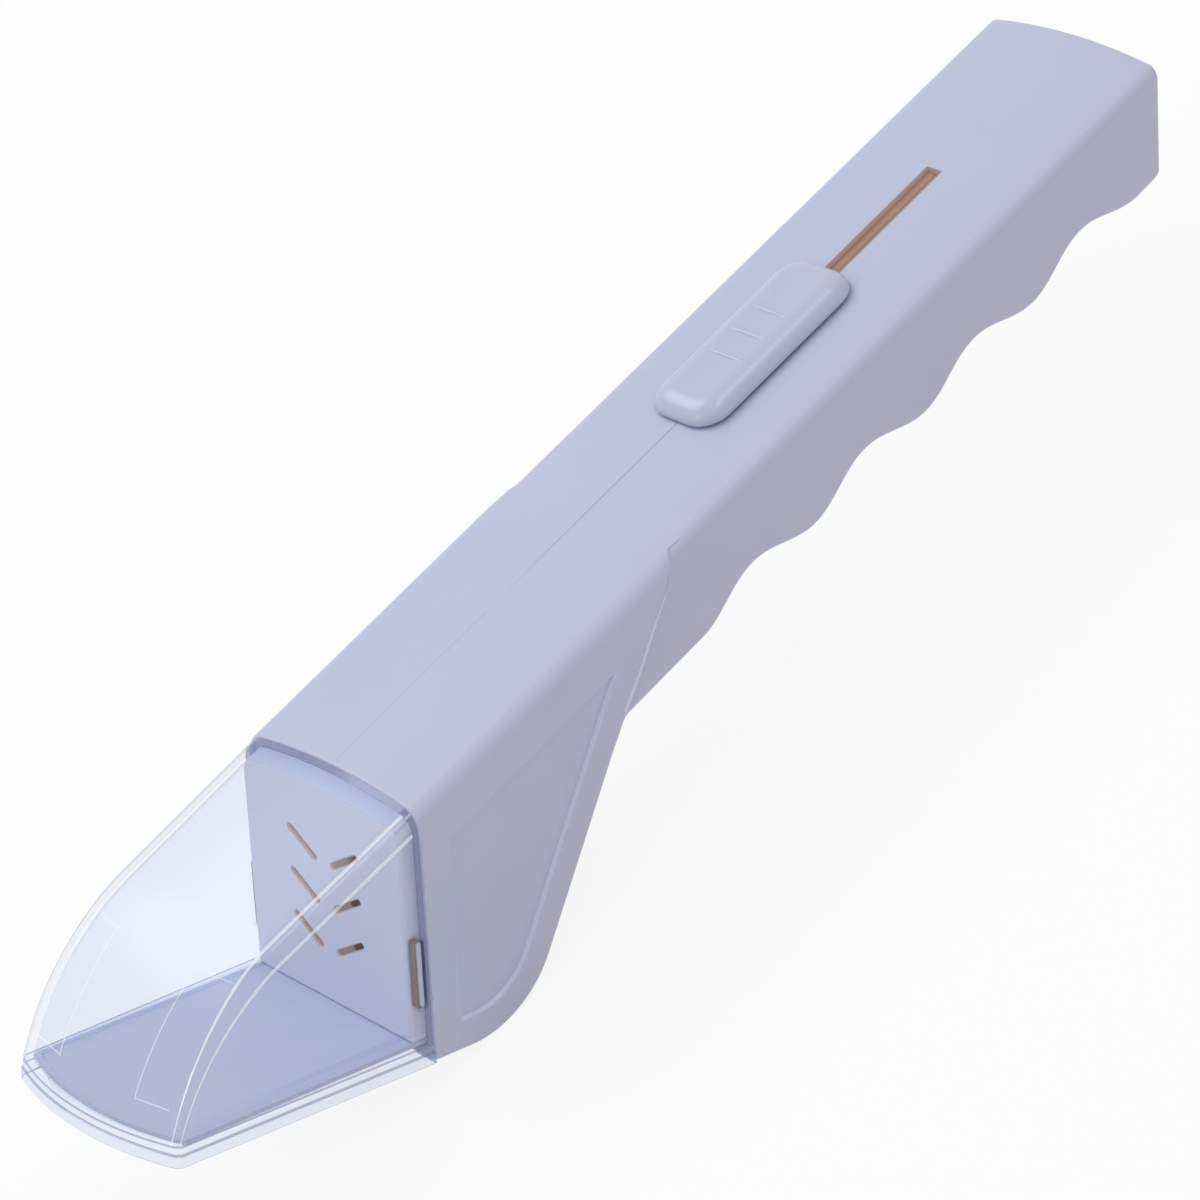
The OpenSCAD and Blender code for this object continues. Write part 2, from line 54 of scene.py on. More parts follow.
# Main lines of the object. The floor is the rim line of the hood, the lane that the door runs in.
body = {
    "handleLen": 186.2, "tailLean": 20.9, "crown": 2.0, "crownR": 120.0,
    "jointLean": 22.6, "jointLen": 43.5, "floorTilt": 27.0, "rearSlope": 39.4, "rearBack": 60.5,
    "heelR": 18.1, "heel": (1.571, -27.563),
}


def tilt(degrees):
    return Vector((math.cos(math.radians(degrees)), math.sin(math.radians(degrees))))


jointLean = math.radians(body["jointLean"])
jointDown = Vector((math.sin(jointLean), -math.cos(jointLean)))
jointAhead = Vector((-jointDown.y, jointDown.x))
jointFoot = jointDown * body["jointLen"]
floorAhead = tilt(body["floorTilt"])
floorUp = Vector((-floorAhead.y, floorAhead.x))
tailSlant = math.tan(math.radians(body["tailLean"]))

# The drawing's zero in the row frame, from the left shell's tail and crown
shellLow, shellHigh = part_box("left_shell")
gripZero = Vector((
    shellLow.x + (body["handleLen"] + body["crown"] * tailSlant) / 1000, 0,
    shellHigh.z - body["crown"] / 1000,
))


def toRow(x, y, z):
    return gripZero + Vector((x, y, z)) / 1000


def overFloor(along, high):
    return jointFoot + floorAhead * along + floorUp * high


def floorAlong(x, z):
    return (Vector((x, z)) - jointFoot).dot(floorAhead)


def alongAtJoint(ahead, high):
    # where a line that high over the floor meets a line that far ahead of the joint
    return (ahead - high * floorUp.dot(jointAhead)) / floorAhead.dot(jointAhead)


def ease(low, high, value):
    t = min(1.0, max(0.0, (value - low) / (high - low)))
    return t * t * (3 - 2 * t)


def steps(start, end, count):
    return [start + (end - start) * i / count for i in range(count + 1)]


def settle(name, mesh):
    # puts a finished mesh into the scene
    data = bpy.data.meshes.new(name)
    mesh.to_mesh(data)
    mesh.free()
    piece = bpy.data.objects.new(name, data)
    bpy.context.scene.collection.objects.link(piece)
    return piece


def newPiece(name, points, faces, weld=3e-6):
    # points are in the drawing's millimetres
    mesh = bmesh.new()
    made = [mesh.verts.new(toRow(*p)) for p in points]
    for face in faces:
        if len(set(face)) > 2:
            mesh.faces.new([made[i] for i in face])
    bmesh.ops.remove_doubles(mesh, verts=mesh.verts, dist=weld)
    bmesh.ops.dissolve_degenerate(mesh, edges=mesh.edges, dist=weld / 3)
    bmesh.ops.recalc_face_normals(mesh, faces=mesh.faces)
    return settle(name, mesh)


def stackLoops(name, loops):
    # closed solid through loops of equal length
    count = len(loops[0])
    faces = [tuple(range(count)), tuple(range((len(loops) - 1) * count, len(loops) * count))]
    for k in range(len(loops) - 1):
        for i in range(count):
            j = (i + 1) % count
            faces.append((k * count + i, k * count + j, (k + 1) * count + j, (k + 1) * count + i))
    return newPiece(name, [p for loop in loops for p in loop], faces)


def sidePrism(name, outline, fromY, toY):
    return stackLoops(name, [[(x, y, z) for x, z in outline] for y in (fromY, toY)])


def carve(piece, tool, how="DIFFERENCE", finish=None):
    # the cut's own faces take the finish, if one is given
    step = piece.modifiers.new("carve", "BOOLEAN")
    step.operation, step.solver, step.object = how, "EXACT", tool
    if finish:
        tool.data.materials.append(finish)
        step.material_mode = "TRANSFER"
    bpy.context.view_layer.update()
    ready = piece.evaluated_get(bpy.context.evaluated_depsgraph_get())
    result = bpy.data.meshes.new_from_object(ready)
    piece.modifiers.clear()
    piece.data = result
    bpy.data.objects.remove(tool)


def softShade(piece, angle=34):
    mesh = piece.data
    for face in mesh.polygons:
        face.use_smooth = True
    mesh.set_sharp_from_angle(angle=math.radians(angle))
    level = piece.modifiers.new("level normals", "WEIGHTED_NORMAL")
    level.keep_sharp, level.weight = True, 60


# Materials
def linear(code):
    values = [int(code[i:i + 2], 16) / 255 for i in (1, 3, 5)]
    light = [v / 12.92 if v <= 0.04045 else ((v + 0.055) / 1.055) ** 2.4 for v in values]
    return tuple(light) + (1,)


def add(tree, kind, values=None, links=None, **settings):
    made = tree.nodes.new(kind)
    for key, value in settings.items():
        setattr(made, key, value)
    for key, value in (values or {}).items():
        made.inputs[key].default_value = value
    for key, source in (links or {}).items():
        tree.links.new(source, made.inputs[key])
    return made


def newMaterial(name):
    made = bpy.data.materials.new(name)
    made.use_nodes = True
    made.node_tree.nodes.clear()
    tree = made.node_tree
    place = add(tree, "ShaderNodeTexCoord").outputs["Object"]
    return made, tree, place


def waves(size):
    # a texture scale that repeats every so many millimetres
    return 1000 / size


def finishWith(tree, surface):
    add(tree, "ShaderNodeOutputMaterial", links={"Surface": surface})


# ABS, injection moulded against a fine eroded tool: an even satin with a soft grain, faint flow
# marks from the gate and a few dull rubs where a hand holds it
mouldedLook = {
    "colour": "#c1c5de", "flow": "#bbbfd9", "rub": "#c9cce1", "roughness": 0.42, "dull": 0.1,
    "grain": 0.45, "grainDeep": 0.07, "flowSize": 38, "rubs": 0.28, "rubSize": 11,
    "rubSpan": (0.56, 0.74), "glow": 0.08, "glowReach": 0.0015,
}


def mouldedAbs(name, changes):
    look = {**mouldedLook, **changes}
    made, tree, place = newMaterial(name)
    # the tool's grain is about 0.1 mm, drawn at 0.45 mm so that it shows
    grain = add(tree, "ShaderNodeTexNoise",
                {"Scale": waves(look["grain"]), "Detail": 3.0, "Roughness": 0.6}, {"Vector": place})
    flow = add(tree, "ShaderNodeTexNoise",
               {"Scale": waves(look["flowSize"]), "Detail": 2.0, "Distortion": 0.6},
               {"Vector": place})
    rub = add(tree, "ShaderNodeTexNoise",
              {"Scale": waves(look["rubSize"]), "Detail": 6.0, "Roughness": 0.62},
              {"Vector": place})
    rubMask = add(tree, "ShaderNodeValToRGB", links={"Fac": rub.outputs["Fac"]})
    for stop, at in zip(rubMask.color_ramp.elements, look["rubSpan"]):
        stop.position = at
    tint = add(tree, "ShaderNodeMix", {6: linear(look["colour"]), 7: linear(look["flow"])},
               {0: flow.outputs["Fac"]}, data_type="RGBA")
    rubShare = add(tree, "ShaderNodeMath", {1: look["rubs"]}, {0: rubMask.outputs["Color"]},
                   operation="MULTIPLY")
    worn = add(tree, "ShaderNodeMix", {7: linear(look["rub"])},
               {0: rubShare.outputs[0], 6: tint.outputs[2]}, data_type="RGBA")
    dull = add(tree, "ShaderNodeMapRange",
               {"To Min": look["roughness"] - look["dull"] / 2,
                "To Max": look["roughness"] + look["dull"]}, {"Value": rub.outputs["Fac"]})
    bump = add(tree, "ShaderNodeBump", {"Strength": look["grainDeep"], "Distance": 0.00012},
               {"Height": grain.outputs["Fac"]})
    plastic = add(tree, "ShaderNodeBsdfPrincipled",
                  {"IOR": 1.53, "Subsurface Weight": look["glow"],
                   "Subsurface Radius": (1.0, 0.9, 1.0), "Subsurface Scale": look["glowReach"]},
                  {"Base Color": worn.outputs[2], "Roughness": dull.outputs[0],
                   "Normal": bump.outputs[0]})
    finishWith(tree, plastic.outputs[0])
    return made


shellAbs = mouldedAbs("moulded ABS of the shells", {})
# Steps of the shells: glossier from polished tool edges, and painted lighter as a highlight
paintedHighlightAbs = mouldedAbs("ABS along the steps of the shells", {
    "colour": "#d5d9f3", "flow": "#cfd3ef", "rub": "#dbdef5", "roughness": 0.32, "grain": 0.6,
    "flowSize": 30, "rubs": 0.15, "dull": 0.06,
})
# The button comes from a polished tool, so it is smoother and shines more
buttonAbs = mouldedAbs("polished ABS of the button", {
    "colour": "#c0c5dc", "flow": "#bcc1d9", "rub": "#c6cade", "roughness": 0.25, "grain": 0.6,
    "flowSize": 20, "rubs": 0.05, "dull": 0.02,
})
# painted light: the back wall is a lighter copy of the shell ABS, to make up for the hood's shade
wallAbsPaintedLighter = mouldedAbs("moulded ABS of the back wall", {
    "colour": "#dcdced", "flow": "#d7d8ea", "rub": "#e0e0ef", "roughness": 0.46, "flowSize": 25,
    "rubs": 0.2,
})
carriageAbs = mouldedAbs("moulded ABS of the carriage", {
    "colour": "#d8dae4", "flow": "#d2d5e0", "rub": "#dddfe8", "roughness": 0.4, "grain": 0.5,
    "flowSize": 12,
})

# The inside of the ABS walls is painted a dim warm grey for its shade, never black, with a painted
# glow for the light that soaks through them, as behind the vents and in the slot
paintedShadeAndGlowLook = {"colour": "#ac9c9b", "deep": "#a1908e", "glow": "#a08d8c", "strength": 0.4,
              "cloud": 7, "roughness": 0.6}


def paintedShadeAndGlowAbs(name, look):
    made, tree, place = newMaterial(name)
    cloud = add(tree, "ShaderNodeTexNoise", {"Scale": waves(look["cloud"]), "Detail": 3.0},
                {"Vector": place})
    tint = add(tree, "ShaderNodeMix", {6: linear(look["colour"]), 7: linear(look["deep"])},
               {0: cloud.outputs["Fac"]}, data_type="RGBA")
    plastic = add(tree, "ShaderNodeBsdfPrincipled",
                  {"IOR": 1.53, "Roughness": look["roughness"],
                   "Emission Color": linear(look["glow"]), "Emission Strength": look["strength"]},
                  {"Base Color": tint.outputs[2]})
    finishWith(tree, plastic.outputs[0])
    return made


shellInsidePaintedShadeAndGlow = paintedShadeAndGlowAbs("inside of the ABS walls, painted shade and glow", paintedShadeAndGlowLook)

# Acetal, moulded in tan: slick, a little waxy, with fine drag marks along the way of the slide
guideLook = {"colour": "#b48e7b", "deep": "#a27e6d", "roughness": 0.34, "drag": 0.7,
             "stretch": 0.06, "cloud": 9}


def slickAcetal(name, changes):
    look = {**guideLook, **changes}
    made, tree, place = newMaterial(name)
    stretched = add(tree, "ShaderNodeMapping", {"Scale": (look["stretch"], 1.0, 1.0)},
                    {"Vector": place})
    drag = add(tree, "ShaderNodeTexNoise", {"Scale": waves(look["drag"]), "Detail": 4.0},
               {"Vector": stretched.outputs[0]})
    cloud = add(tree, "ShaderNodeTexNoise", {"Scale": waves(look["cloud"]), "Detail": 2.0},
                {"Vector": place})
    tint = add(tree, "ShaderNodeMix", {6: linear(look["colour"]), 7: linear(look["deep"])},
               {0: cloud.outputs["Fac"]}, data_type="RGBA")
    dull = add(tree, "ShaderNodeMapRange",
               {"To Min": look["roughness"] - 0.06, "To Max": look["roughness"] + 0.1},
               {"Value": drag.outputs["Fac"]})
    bump = add(tree, "ShaderNodeBump", {"Strength": 0.12, "Distance": 0.0001},
               {"Height": drag.outputs["Fac"]})
    plastic = add(tree, "ShaderNodeBsdfPrincipled", {"IOR": 1.48},
                  {"Base Color": tint.outputs[2], "Roughness": dull.outputs[0],
                   "Normal": bump.outputs[0]})
    finishWith(tree, plastic.outputs[0])
    return made


guideAcetal = slickAcetal("tan acetal of the guides", {})
# painted shade: the catches are the same acetal, painted greyer for sitting deep in their windows
catchAcetalPaintedShade = slickAcetal("tan acetal of the catches, painted darker as shade", {
    "colour": "#96807e", "deep": "#86706e", "roughness": 0.4,
})

# Polypropylene sheet, calendered: matt, with a faint leather-like skin and pale lines along its
# run. The real skin is about 0.2 mm, drawn at 0.8 mm so that it shows.
sheetLook = {"colour": "#bfc1da", "pale": "#c8c9df", "roughness": 0.5, "skin": 0.8, "lines": 2.6,
             "stretch": 0.05}


def calenderedSheet(name, look):
    made, tree, place = newMaterial(name)
    skin = add(tree, "ShaderNodeTexVoronoi", {"Scale": waves(look["skin"])}, {"Vector": place})
    run = add(tree, "ShaderNodeMapping", {"Scale": (look["stretch"], 1.0, look["stretch"])},
              {"Vector": place})
    lines = add(tree, "ShaderNodeTexNoise", {"Scale": waves(look["lines"]), "Detail": 3.0},
                {"Vector": run.outputs[0]})
    tint = add(tree, "ShaderNodeMix", {6: linear(look["colour"]), 7: linear(look["pale"])},
               {0: lines.outputs["Fac"]}, data_type="RGBA")
    dull = add(tree, "ShaderNodeMapRange",
               {"To Min": look["roughness"] - 0.05, "To Max": look["roughness"] + 0.07},
               {"Value": lines.outputs["Fac"]})
    bump = add(tree, "ShaderNodeBump", {"Strength": 0.05, "Distance": 0.0001},
               {"Height": skin.outputs["Distance"]})
    sheet = add(tree, "ShaderNodeBsdfPrincipled", {"IOR": 1.49},
                {"Base Color": tint.outputs[2], "Roughness": dull.outputs[0],
                 "Normal": bump.outputs[0]})
    finishWith(tree, sheet.outputs[0])
    return made


doorSheet = calenderedSheet("calendered sheet of the door", sheetLook)

# Clear polystyrene, moulded in a polished tool: nearly colourless where it faces the eye, blue grey
# where a wall is seen on edge, with hairline scratches that catch the light
clearLook = {
    "clear": "#fafcff", "edge": "#8e9fbc", "roughness": 0.04, "hair": 1.5, "hairSpan": (0.66, 0.8),
    # how much of the wall is seen, from face on to edge on
    "least": 0.012, "most": 0.8, "power": 4.0,
    # the last two give a painted glow, a highlight on the ridge lines and the rim band
    "sheen": 0.3, "shine": 0.55, "paintedGlow": 0.0, "paintedGlowColour": "#f4f8ff",
}
clearIor = 1.59


def clearStyrene(name, changes):
    look = {**clearLook, **changes}
    made, tree, place = newMaterial(name)
    scratchTurn = add(tree, "ShaderNodeMapping",
                      {"Rotation": (0.4, 0.9, 0.5), "Scale": (1.0, 0.05, 1.0)}, {"Vector": place})
    # hairlines are a few hundredths of a millimetre wide, drawn far wider so that they show
    hair = add(tree, "ShaderNodeTexNoise",
               {"Scale": waves(look["hair"]), "Detail": 5.0, "Roughness": 0.7},
               {"Vector": scratchTurn.outputs[0]})
    hairMask = add(tree, "ShaderNodeValToRGB", links={"Fac": hair.outputs["Fac"]})
    for stop, at in zip(hairMask.color_ramp.elements, look["hairSpan"]):
        stop.position = at
    dull = add(tree, "ShaderNodeMapRange",
               {"To Min": look["roughness"], "To Max": look["roughness"] + 0.12},
               {"Value": hairMask.outputs["Color"]})
    bump = add(tree, "ShaderNodeBump", {"Strength": 0.04, "Distance": 0.0001},
               {"Height": hair.outputs["Fac"]})
    facing = add(tree, "ShaderNodeLayerWeight", {"Blend": 0.5})
    power = add(tree, "ShaderNodeMath", {1: look["power"]}, {0: facing.outputs["Facing"]},
                operation="POWER")
    seenShare = add(tree, "ShaderNodeMapRange", {"To Min": look["least"], "To Max": look["most"]},
                    {"Value": power.outputs[0]})
    # lamp light passes the clear walls, so the chamber isn't in their shade
    path = add(tree, "ShaderNodeLightPath")
    lit = add(tree, "ShaderNodeMath", None,
              {0: path.outputs["Is Shadow Ray"], 1: path.outputs["Is Diffuse Ray"]},
              operation="MAXIMUM")
    kept = add(tree, "ShaderNodeMath", {0: 1.0}, {1: lit.outputs[0]}, operation="SUBTRACT")
    share = add(tree, "ShaderNodeMath", None, {0: seenShare.outputs[0], 1: kept.outputs[0]},
                operation="MULTIPLY")
    through = add(tree, "ShaderNodeBsdfTransparent", {"Color": linear(look["clear"])})
    skin = add(tree, "ShaderNodeBsdfPrincipled",
               {"Base Color": linear(look["edge"]), "IOR": clearIor,
                "Emission Color": linear(look["paintedGlowColour"]),
                "Emission Strength": look["paintedGlow"]},
               {"Roughness": dull.outputs[0], "Normal": bump.outputs[0]})
    both = add(tree, "ShaderNodeMixShader",
               links={0: share.outputs[0], 1: through.outputs[0], 2: skin.outputs[0]})
    # the soft lamps show as a wide sheen, not as sharp discs, and only on the side that faces them
    mirror = add(tree, "ShaderNodeBsdfAnisotropic",
                 {"Color": (1, 1, 1, 1), "Roughness": look["sheen"]}, {"Normal": bump.outputs[0]})
    glint = add(tree, "ShaderNodeFresnel", {"IOR": clearIor})
    faces = add(tree, "ShaderNodeNewGeometry")
    front = add(tree, "ShaderNodeMath", {0: 1.0}, {1: faces.outputs["Backfacing"]},
                operation="SUBTRACT")
    frontKept = add(tree, "ShaderNodeMath", None, {0: front.outputs[0], 1: kept.outputs[0]},
                    operation="MULTIPLY")
    shine = add(tree, "ShaderNodeMath", {1: look["shine"]}, {0: frontKept.outputs[0]},
                operation="MULTIPLY")
    glintShare = add(tree, "ShaderNodeMath", None, {0: glint.outputs[0], 1: shine.outputs[0]},
                     operation="MULTIPLY")
    polished = add(tree, "ShaderNodeMixShader",
                   links={0: glintShare.outputs[0], 1: both.outputs[0], 2: mirror.outputs[0]})
    finishWith(tree, polished.outputs[0])
    return made


hoodClear = clearStyrene("clear polystyrene of the hood", {})
hoodEdge = clearStyrene("clear polystyrene seen on edge", {
    "clear": "#eef1fa", "edge": "#8189ae", "roughness": 0.08, "least": 0.56, "most": 0.9,
    "power": 1.5, "sheen": 0.2, "shine": 0.6,
})
# painted highlight: pale, faintly glowing ridge lines fade where a ridge is seen on edge; its
# rounding darkens there
hoodRidgeHighlight = clearStyrene("clear polystyrene of the ridges, painted as highlight lines", {
    "clear": "#ffffff", "edge": "#f6f9ff", "roughness": 0.06, "least": 0.52, "most": 0.04,
    "power": 1.0, "sheen": 0.2, "shine": 0.6, "paintedGlow": 0.22,
})
hoodFillet = clearStyrene("clear polystyrene between the ridge lines", {
    "clear": "#fdfeff", "edge": "#8fa0bd", "roughness": 0.06, "least": 0.05, "most": 0.95,
    "power": 2.2, "sheen": 0.2, "shine": 0.6,
})
# painted highlight: the rim band glows faintly
hoodRim = clearStyrene("clear polystyrene of the rim band", {
    "clear": "#f8fbff", "edge": "#a6c8f2", "roughness": 0.07, "least": 0.12, "most": 0.6,
    "power": 2.0, "sheen": 0.2, "shine": 0.8, "paintedGlow": 0.06,
})


# Mild steel, zinc plated: bright, slightly blue and finely mottled by the bath
def platedSteel(name, colours, roughness):
    made, tree, place = newMaterial(name)
    mottle = add(tree, "ShaderNodeTexNoise", {"Scale": waves(0.9), "Detail": 4.0},
                 {"Vector": place})
    tint = add(tree, "ShaderNodeMix", {6: linear(colours[0]), 7: linear(colours[1])},
               {0: mottle.outputs["Fac"]}, data_type="RGBA")
    dull = add(tree, "ShaderNodeMapRange",
               {"To Min": roughness - 0.08, "To Max": roughness + 0.1},
               {"Value": mottle.outputs["Fac"]})
    bump = add(tree, "ShaderNodeBump", {"Strength": 0.08, "Distance": 0.00005},
               {"Height": mottle.outputs["Fac"]})
    metal = add(tree, "ShaderNodeBsdfPrincipled", {"Metallic": 1.0},
                {"Base Color": tint.outputs[2], "Roughness": dull.outputs[0],
                 "Normal": bump.outputs[0]})
    finishWith(tree, metal.outputs[0])
    return made


zincSteel = platedSteel("zinc plated steel", ("#c6c9cf", "#b3b7bf"), 0.3)
springSteel = platedSteel("spring steel", ("#b9bbbd", "#a5a8ac"), 0.24)
rivetBrass = platedSteel("turned brass of the rivets", ("#d8bd79", "#c7a860"), 0.28)
print("materials made")

# Shells: rings of points run from the tail to the joint. A ring leans as the tail and the joint do.
shell = {
    "gripHalf": 19.0, "gripEdge": 2.4, "headHalf": 20.6, "headEdge": 3.6, "gripFoot": -18.3,
    "pitch": 28.3, "depth": 3.9, "grooveStart": 74.4, "crest": -60.25, "grooves": 4,
    "flare": (-65.9, -55.1), "footEdge": 1.4, "headFootEdge": 1.3, "notchTop": 0.5,
    "tailRound": 0.9, "tailFootRound": 3.4, "tailCornerX": -176.87, "jointRound": 0.3,
    "wall": 1.8, "hollowEnd": -44, "bead": 0.13,
    "seam": 0.13, "seamStart": (-92, -82), "seamEnd": (-72, -34), "split": 0.012,
}
rearSlant = math.tan(math.radians(body["rearSlope"]))
# the head's rear edge passes the grip's foot here
mergeX = -body["rearBack"] - shell["gripFoot"] / rearSlant


def gripWave(x):
    turn = 2 * math.pi * (x + shell["grooveStart"]) / shell["pitch"]
    return shell["depth"] * (1 + math.cos(turn)) / 2


def crownSection(half, edge):
    # centre of the edge's rounding and its lean where it meets the crown
    cy = half - edge
    cz = body["crown"] - body["crownR"] + math.sqrt((body["crownR"] - edge) ** 2 - cy * cy)
    return cy, cz, math.asin(cy / (body["crownR"] - edge))


def shellProfile(x, footZ, stretch):
    # half a cross section from the seam on top to the seam below, as (y, z, normal y, normal z)
    grow = ease(*shell["flare"], x)
    half = shell["gripHalf"] + (shell["headHalf"] - shell["gripHalf"]) * grow
    edge = shell["gripEdge"] + (shell["headEdge"] - shell["gripEdge"]) * grow
    cy, cz, lean = crownSection(half, edge)
    gy, gz, _ = crownSection(shell["gripHalf"], shell["gripEdge"])
    merged = x >= mergeX - 1e-6
    stepZ = footZ if merged else min(-(x + body["rearBack"]) * rearSlant, shell["notchTop"])
    slant = 1.0
    if merged:
        slant = stretch
    elif x > -body["rearBack"]:
        slant = 1 / math.cos(math.radians(body["rearSlope"]))
    out = half - shell["gripHalf"]
    thin = 0.28 * out
    soft = thin + (shell["headFootEdge"] - thin) * ease(mergeX - 9, mergeX + 2, x)

    # the seam on top opens ahead of the button and closes on the head
    deep = shell["seam"] * ease(*shell["seamStart"], x) * (1 - ease(*shell["seamEnd"], x))
    split = 0.0005 + (shell["split"] - 0.0005) * min(1, deep / shell["seam"])
    points = [(split, body["crown"] - deep, 0, 1), (split + deep * 0.7, body["crown"], 0, 1)]
    for share in (0.045, 0.085, 0.125, 0.2, 0.32, 0.46, 0.6, 0.74, 0.88):
        a = lean * share
        drop = body["crownR"] * (1 - math.cos(a))
        points.append((body["crownR"] * math.sin(a), body["crown"] - drop,
                       math.sin(a), math.cos(a)))

    # rounding of the edge, down to the step where that is higher
    turnLow = 0.0
    cornerZ = stepZ + soft * slant
    if cornerZ > cz:
        turnLow = math.asin(min(1, (cornerZ - cz) / edge))
    for a in steps(math.pi / 2 - lean, turnLow, 9):
        points.append((cy + edge * math.cos(a), cz + edge * math.sin(a), math.cos(a), math.sin(a)))
    sideY, sideZ, endNy, endNz = points[-1]

    # flat side, with a narrow bead along the step. On the plain grip these points fall together
    # and share one normal.
    plain = out < 1e-6
    flatY, flatZ = (endNy, endNz) if plain else (1, 0)
    bead = 0.0
    if not merged:
        bead = shell["bead"] * ease(0.05, 0.7, out) * (1 - ease(mergeX - 3, mergeX, x))
    drop = sideZ - min(cornerZ, sideZ)
    for back, rise in ((1, 0), (0.75, 0), (0.5, 0), (0.28, 0),
                       (0.2, 0.25), (0.12, 0.8), (0.06, 1), (0, 1)):
        # the last shares of a long side keep the bead narrow
        away = drop * back if back > 0.3 else min(drop * back, 0.9 * back / 0.28 * slant)
        points.append((sideY + bead * rise, sideZ - drop + away, flatY, flatZ))
    sideY += bead
    for a in steps(0, math.pi / 2, 5)[1:]:
        ny, nz = (endNy, endNz) if plain else (math.cos(a), -math.sin(a))
        points.append((sideY - soft * (1 - math.cos(a)), cornerZ - soft * slant * math.sin(a),
                       ny, nz))

    # the grip's own side under the step, and its foot
    turnHigh = 0.0
    if stepZ > gz:
        turnHigh = math.asin(min(1, max(0, (stepZ - gz) / shell["gripEdge"])))
    foot = min(shell["footEdge"], 0.45 * max(0.0, stepZ - footZ))
    for a in steps(turnHigh, 0, 5):
        high = gz + shell["gripEdge"] * math.sin(a) if stepZ > gz else stepZ
        points.append((gy + shell["gripEdge"] * math.cos(a), high, math.cos(a), math.sin(a)))
    topZ = points[-1][1]
    for share in (0.3, 0.6, 1):
        points.append((shell["gripHalf"], topZ + (footZ + foot * stretch - topZ) * share, 1, 0))
    for a in steps(0, math.pi / 2, 6)[1:]:
        points.append((shell["gripHalf"] - foot * (1 - math.cos(a)),
                       footZ + foot * stretch * (1 - math.sin(a)), math.cos(a), -math.sin(a)))
    for y in (15, 11, 7.5, 4, 1.5):
        points.append((y, footZ, 0, -1))
    deep = shell["seam"] * 0.5
    points.append((shell["split"] + deep * 0.7, footZ, 0, -1))
    points.append((shell["split"], footZ + deep, 0, -1))
    return points


def shellRings():
    rings = []
    low, high = -body["handleLen"], shell["crest"] - shell["grooves"] * shell["pitch"]
    # the tail's end face turns into the sides in a soft edge
    for turn in (90, 72, 54, 36, 18, 0):
        turn = math.radians(turn)
        ring = []
        for y, z, ny, nz in shellProfile(-180, shell["gripFoot"], 1.0):
            belly = shell["tailFootRound"] - shell["tailRound"]
            soft = shell["tailRound"] + belly * max(0, -nz) ** 2
            inward = soft * (1 + 0.357 * nz) * (1 - math.cos(turn))
            y, z = max(shell["split"], y - ny * inward), z - nz * inward
            back = soft * (1.07 + tailSlant * nz) * (1 - math.sin(turn))
            ring.append((low - z * tailSlant + back, y, z))
        rings.append(ring)
    tailRing = rings[-1]
    # the rings straighten between the tail and the first crest
    profile = shellProfile(high, shell["gripFoot"], 1.0)
    for share in steps(0, 1, 8)[1:]:
        rings.append([(old[0] + (high - old[0]) * share, p[0], p[1])
                      for old, p in zip(tailRing, profile)])
    stations = steps(high, shell["crest"] - 6, 124)[1:]
    stations += steps(stations[-1], mergeX, 52)[1:]
    for x in stations:
        wave, slope = 0, 0
        if x < shell["crest"]:
            turn = 2 * math.pi * (x + shell["grooveStart"]) / shell["pitch"]
            wave = gripWave(x)
            slope = math.pi * shell["depth"] / shell["pitch"] * math.sin(turn)
        profile = shellProfile(x, shell["gripFoot"] + wave, math.sqrt(1 + slope * slope))
        rings.append([(x, y, z) for y, z, _, _ in profile])

    # underside of the head: the rear slope, the heel's arc and the run up to the joint
    line = []
    heel = Vector(body["heel"])
    slopeStart = Vector((mergeX, shell["gripFoot"]))
    slopeEnd = heel + body["heelR"] * tilt(-90 - body["rearSlope"])
    for share in steps(0, 1, 14)[1:]:
        line.append((slopeStart.lerp(slopeEnd, share), 90 - body["rearSlope"]))
    for angle in steps(-90 - body["rearSlope"], body["floorTilt"] - 90, 26)[1:]:
        line.append((heel + body["heelR"] * tilt(angle), angle + 180))
    heelEnd = line[-1][0]
    for share in steps(0, 1, 7)[1:]:
        line.append((heelEnd.lerp(jointFoot, share), 90 + body["floorTilt"]))
    run = [0.0]
    for a, b in zip([(slopeStart, 0)] + line, line):
        run.append(run[-1] + (b[0] - a[0]).length)
    for (foot, turn), gone in zip(line, run[1:]):
        topX = mergeX * (1 - gone / run[-1])
        along = Vector((topX - foot.x, -foot.y)).normalized()
        stretch = 1 / max(0.5, along.dot(tilt(turn))) * along.y
        slant = (foot.x - topX) / foot.y
        # the last ring is drawn three times, to soften the edge at the joint
        rounding = ((0, shell["jointRound"]), (0.3, 0.3 * 0.3), (1, 0))
        for inset, back in rounding if gone == run[-1] else ((0, 0),):
            ring = []
            for y, z, ny, nz in shellProfile(max(foot.x, mergeX), foot.y, stretch):
                inward = shell["jointRound"] * inset
                y, z = max(shell["split"], y - ny * inward), z - nz * inward
                ring.append((topX + slant * z - back / jointAhead.x, y, z))
            rings.append(ring)
    return rings


def halfShell(name, side):
    return stackLoops(name, [[(x, side * y, z) for x, y, z in ring] for ring in shellRings()])


def heelArc(inset, count=16):
    return [Vector(body["heel"]) + (body["heelR"] - inset) * tilt(a)
            for a in steps(body["floorTilt"] - 90, -90 - body["rearSlope"], count)]


def headOutline(inset, level, ahead):
    # the head's side outline moved in, closed by a level line on top and a line along the joint
    rearIn = tilt(90 - body["rearSlope"])
    floorStart = alongAtJoint(ahead, inset)
    rearPoint = Vector((-body["rearBack"] + (inset - level * rearIn.y) / rearIn.x, level))
    jointPoint = Vector(((ahead - level * jointAhead.y) / jointAhead.x, level))
    return [overFloor(floorStart, inset)] + heelArc(inset) + [rearPoint, jointPoint]


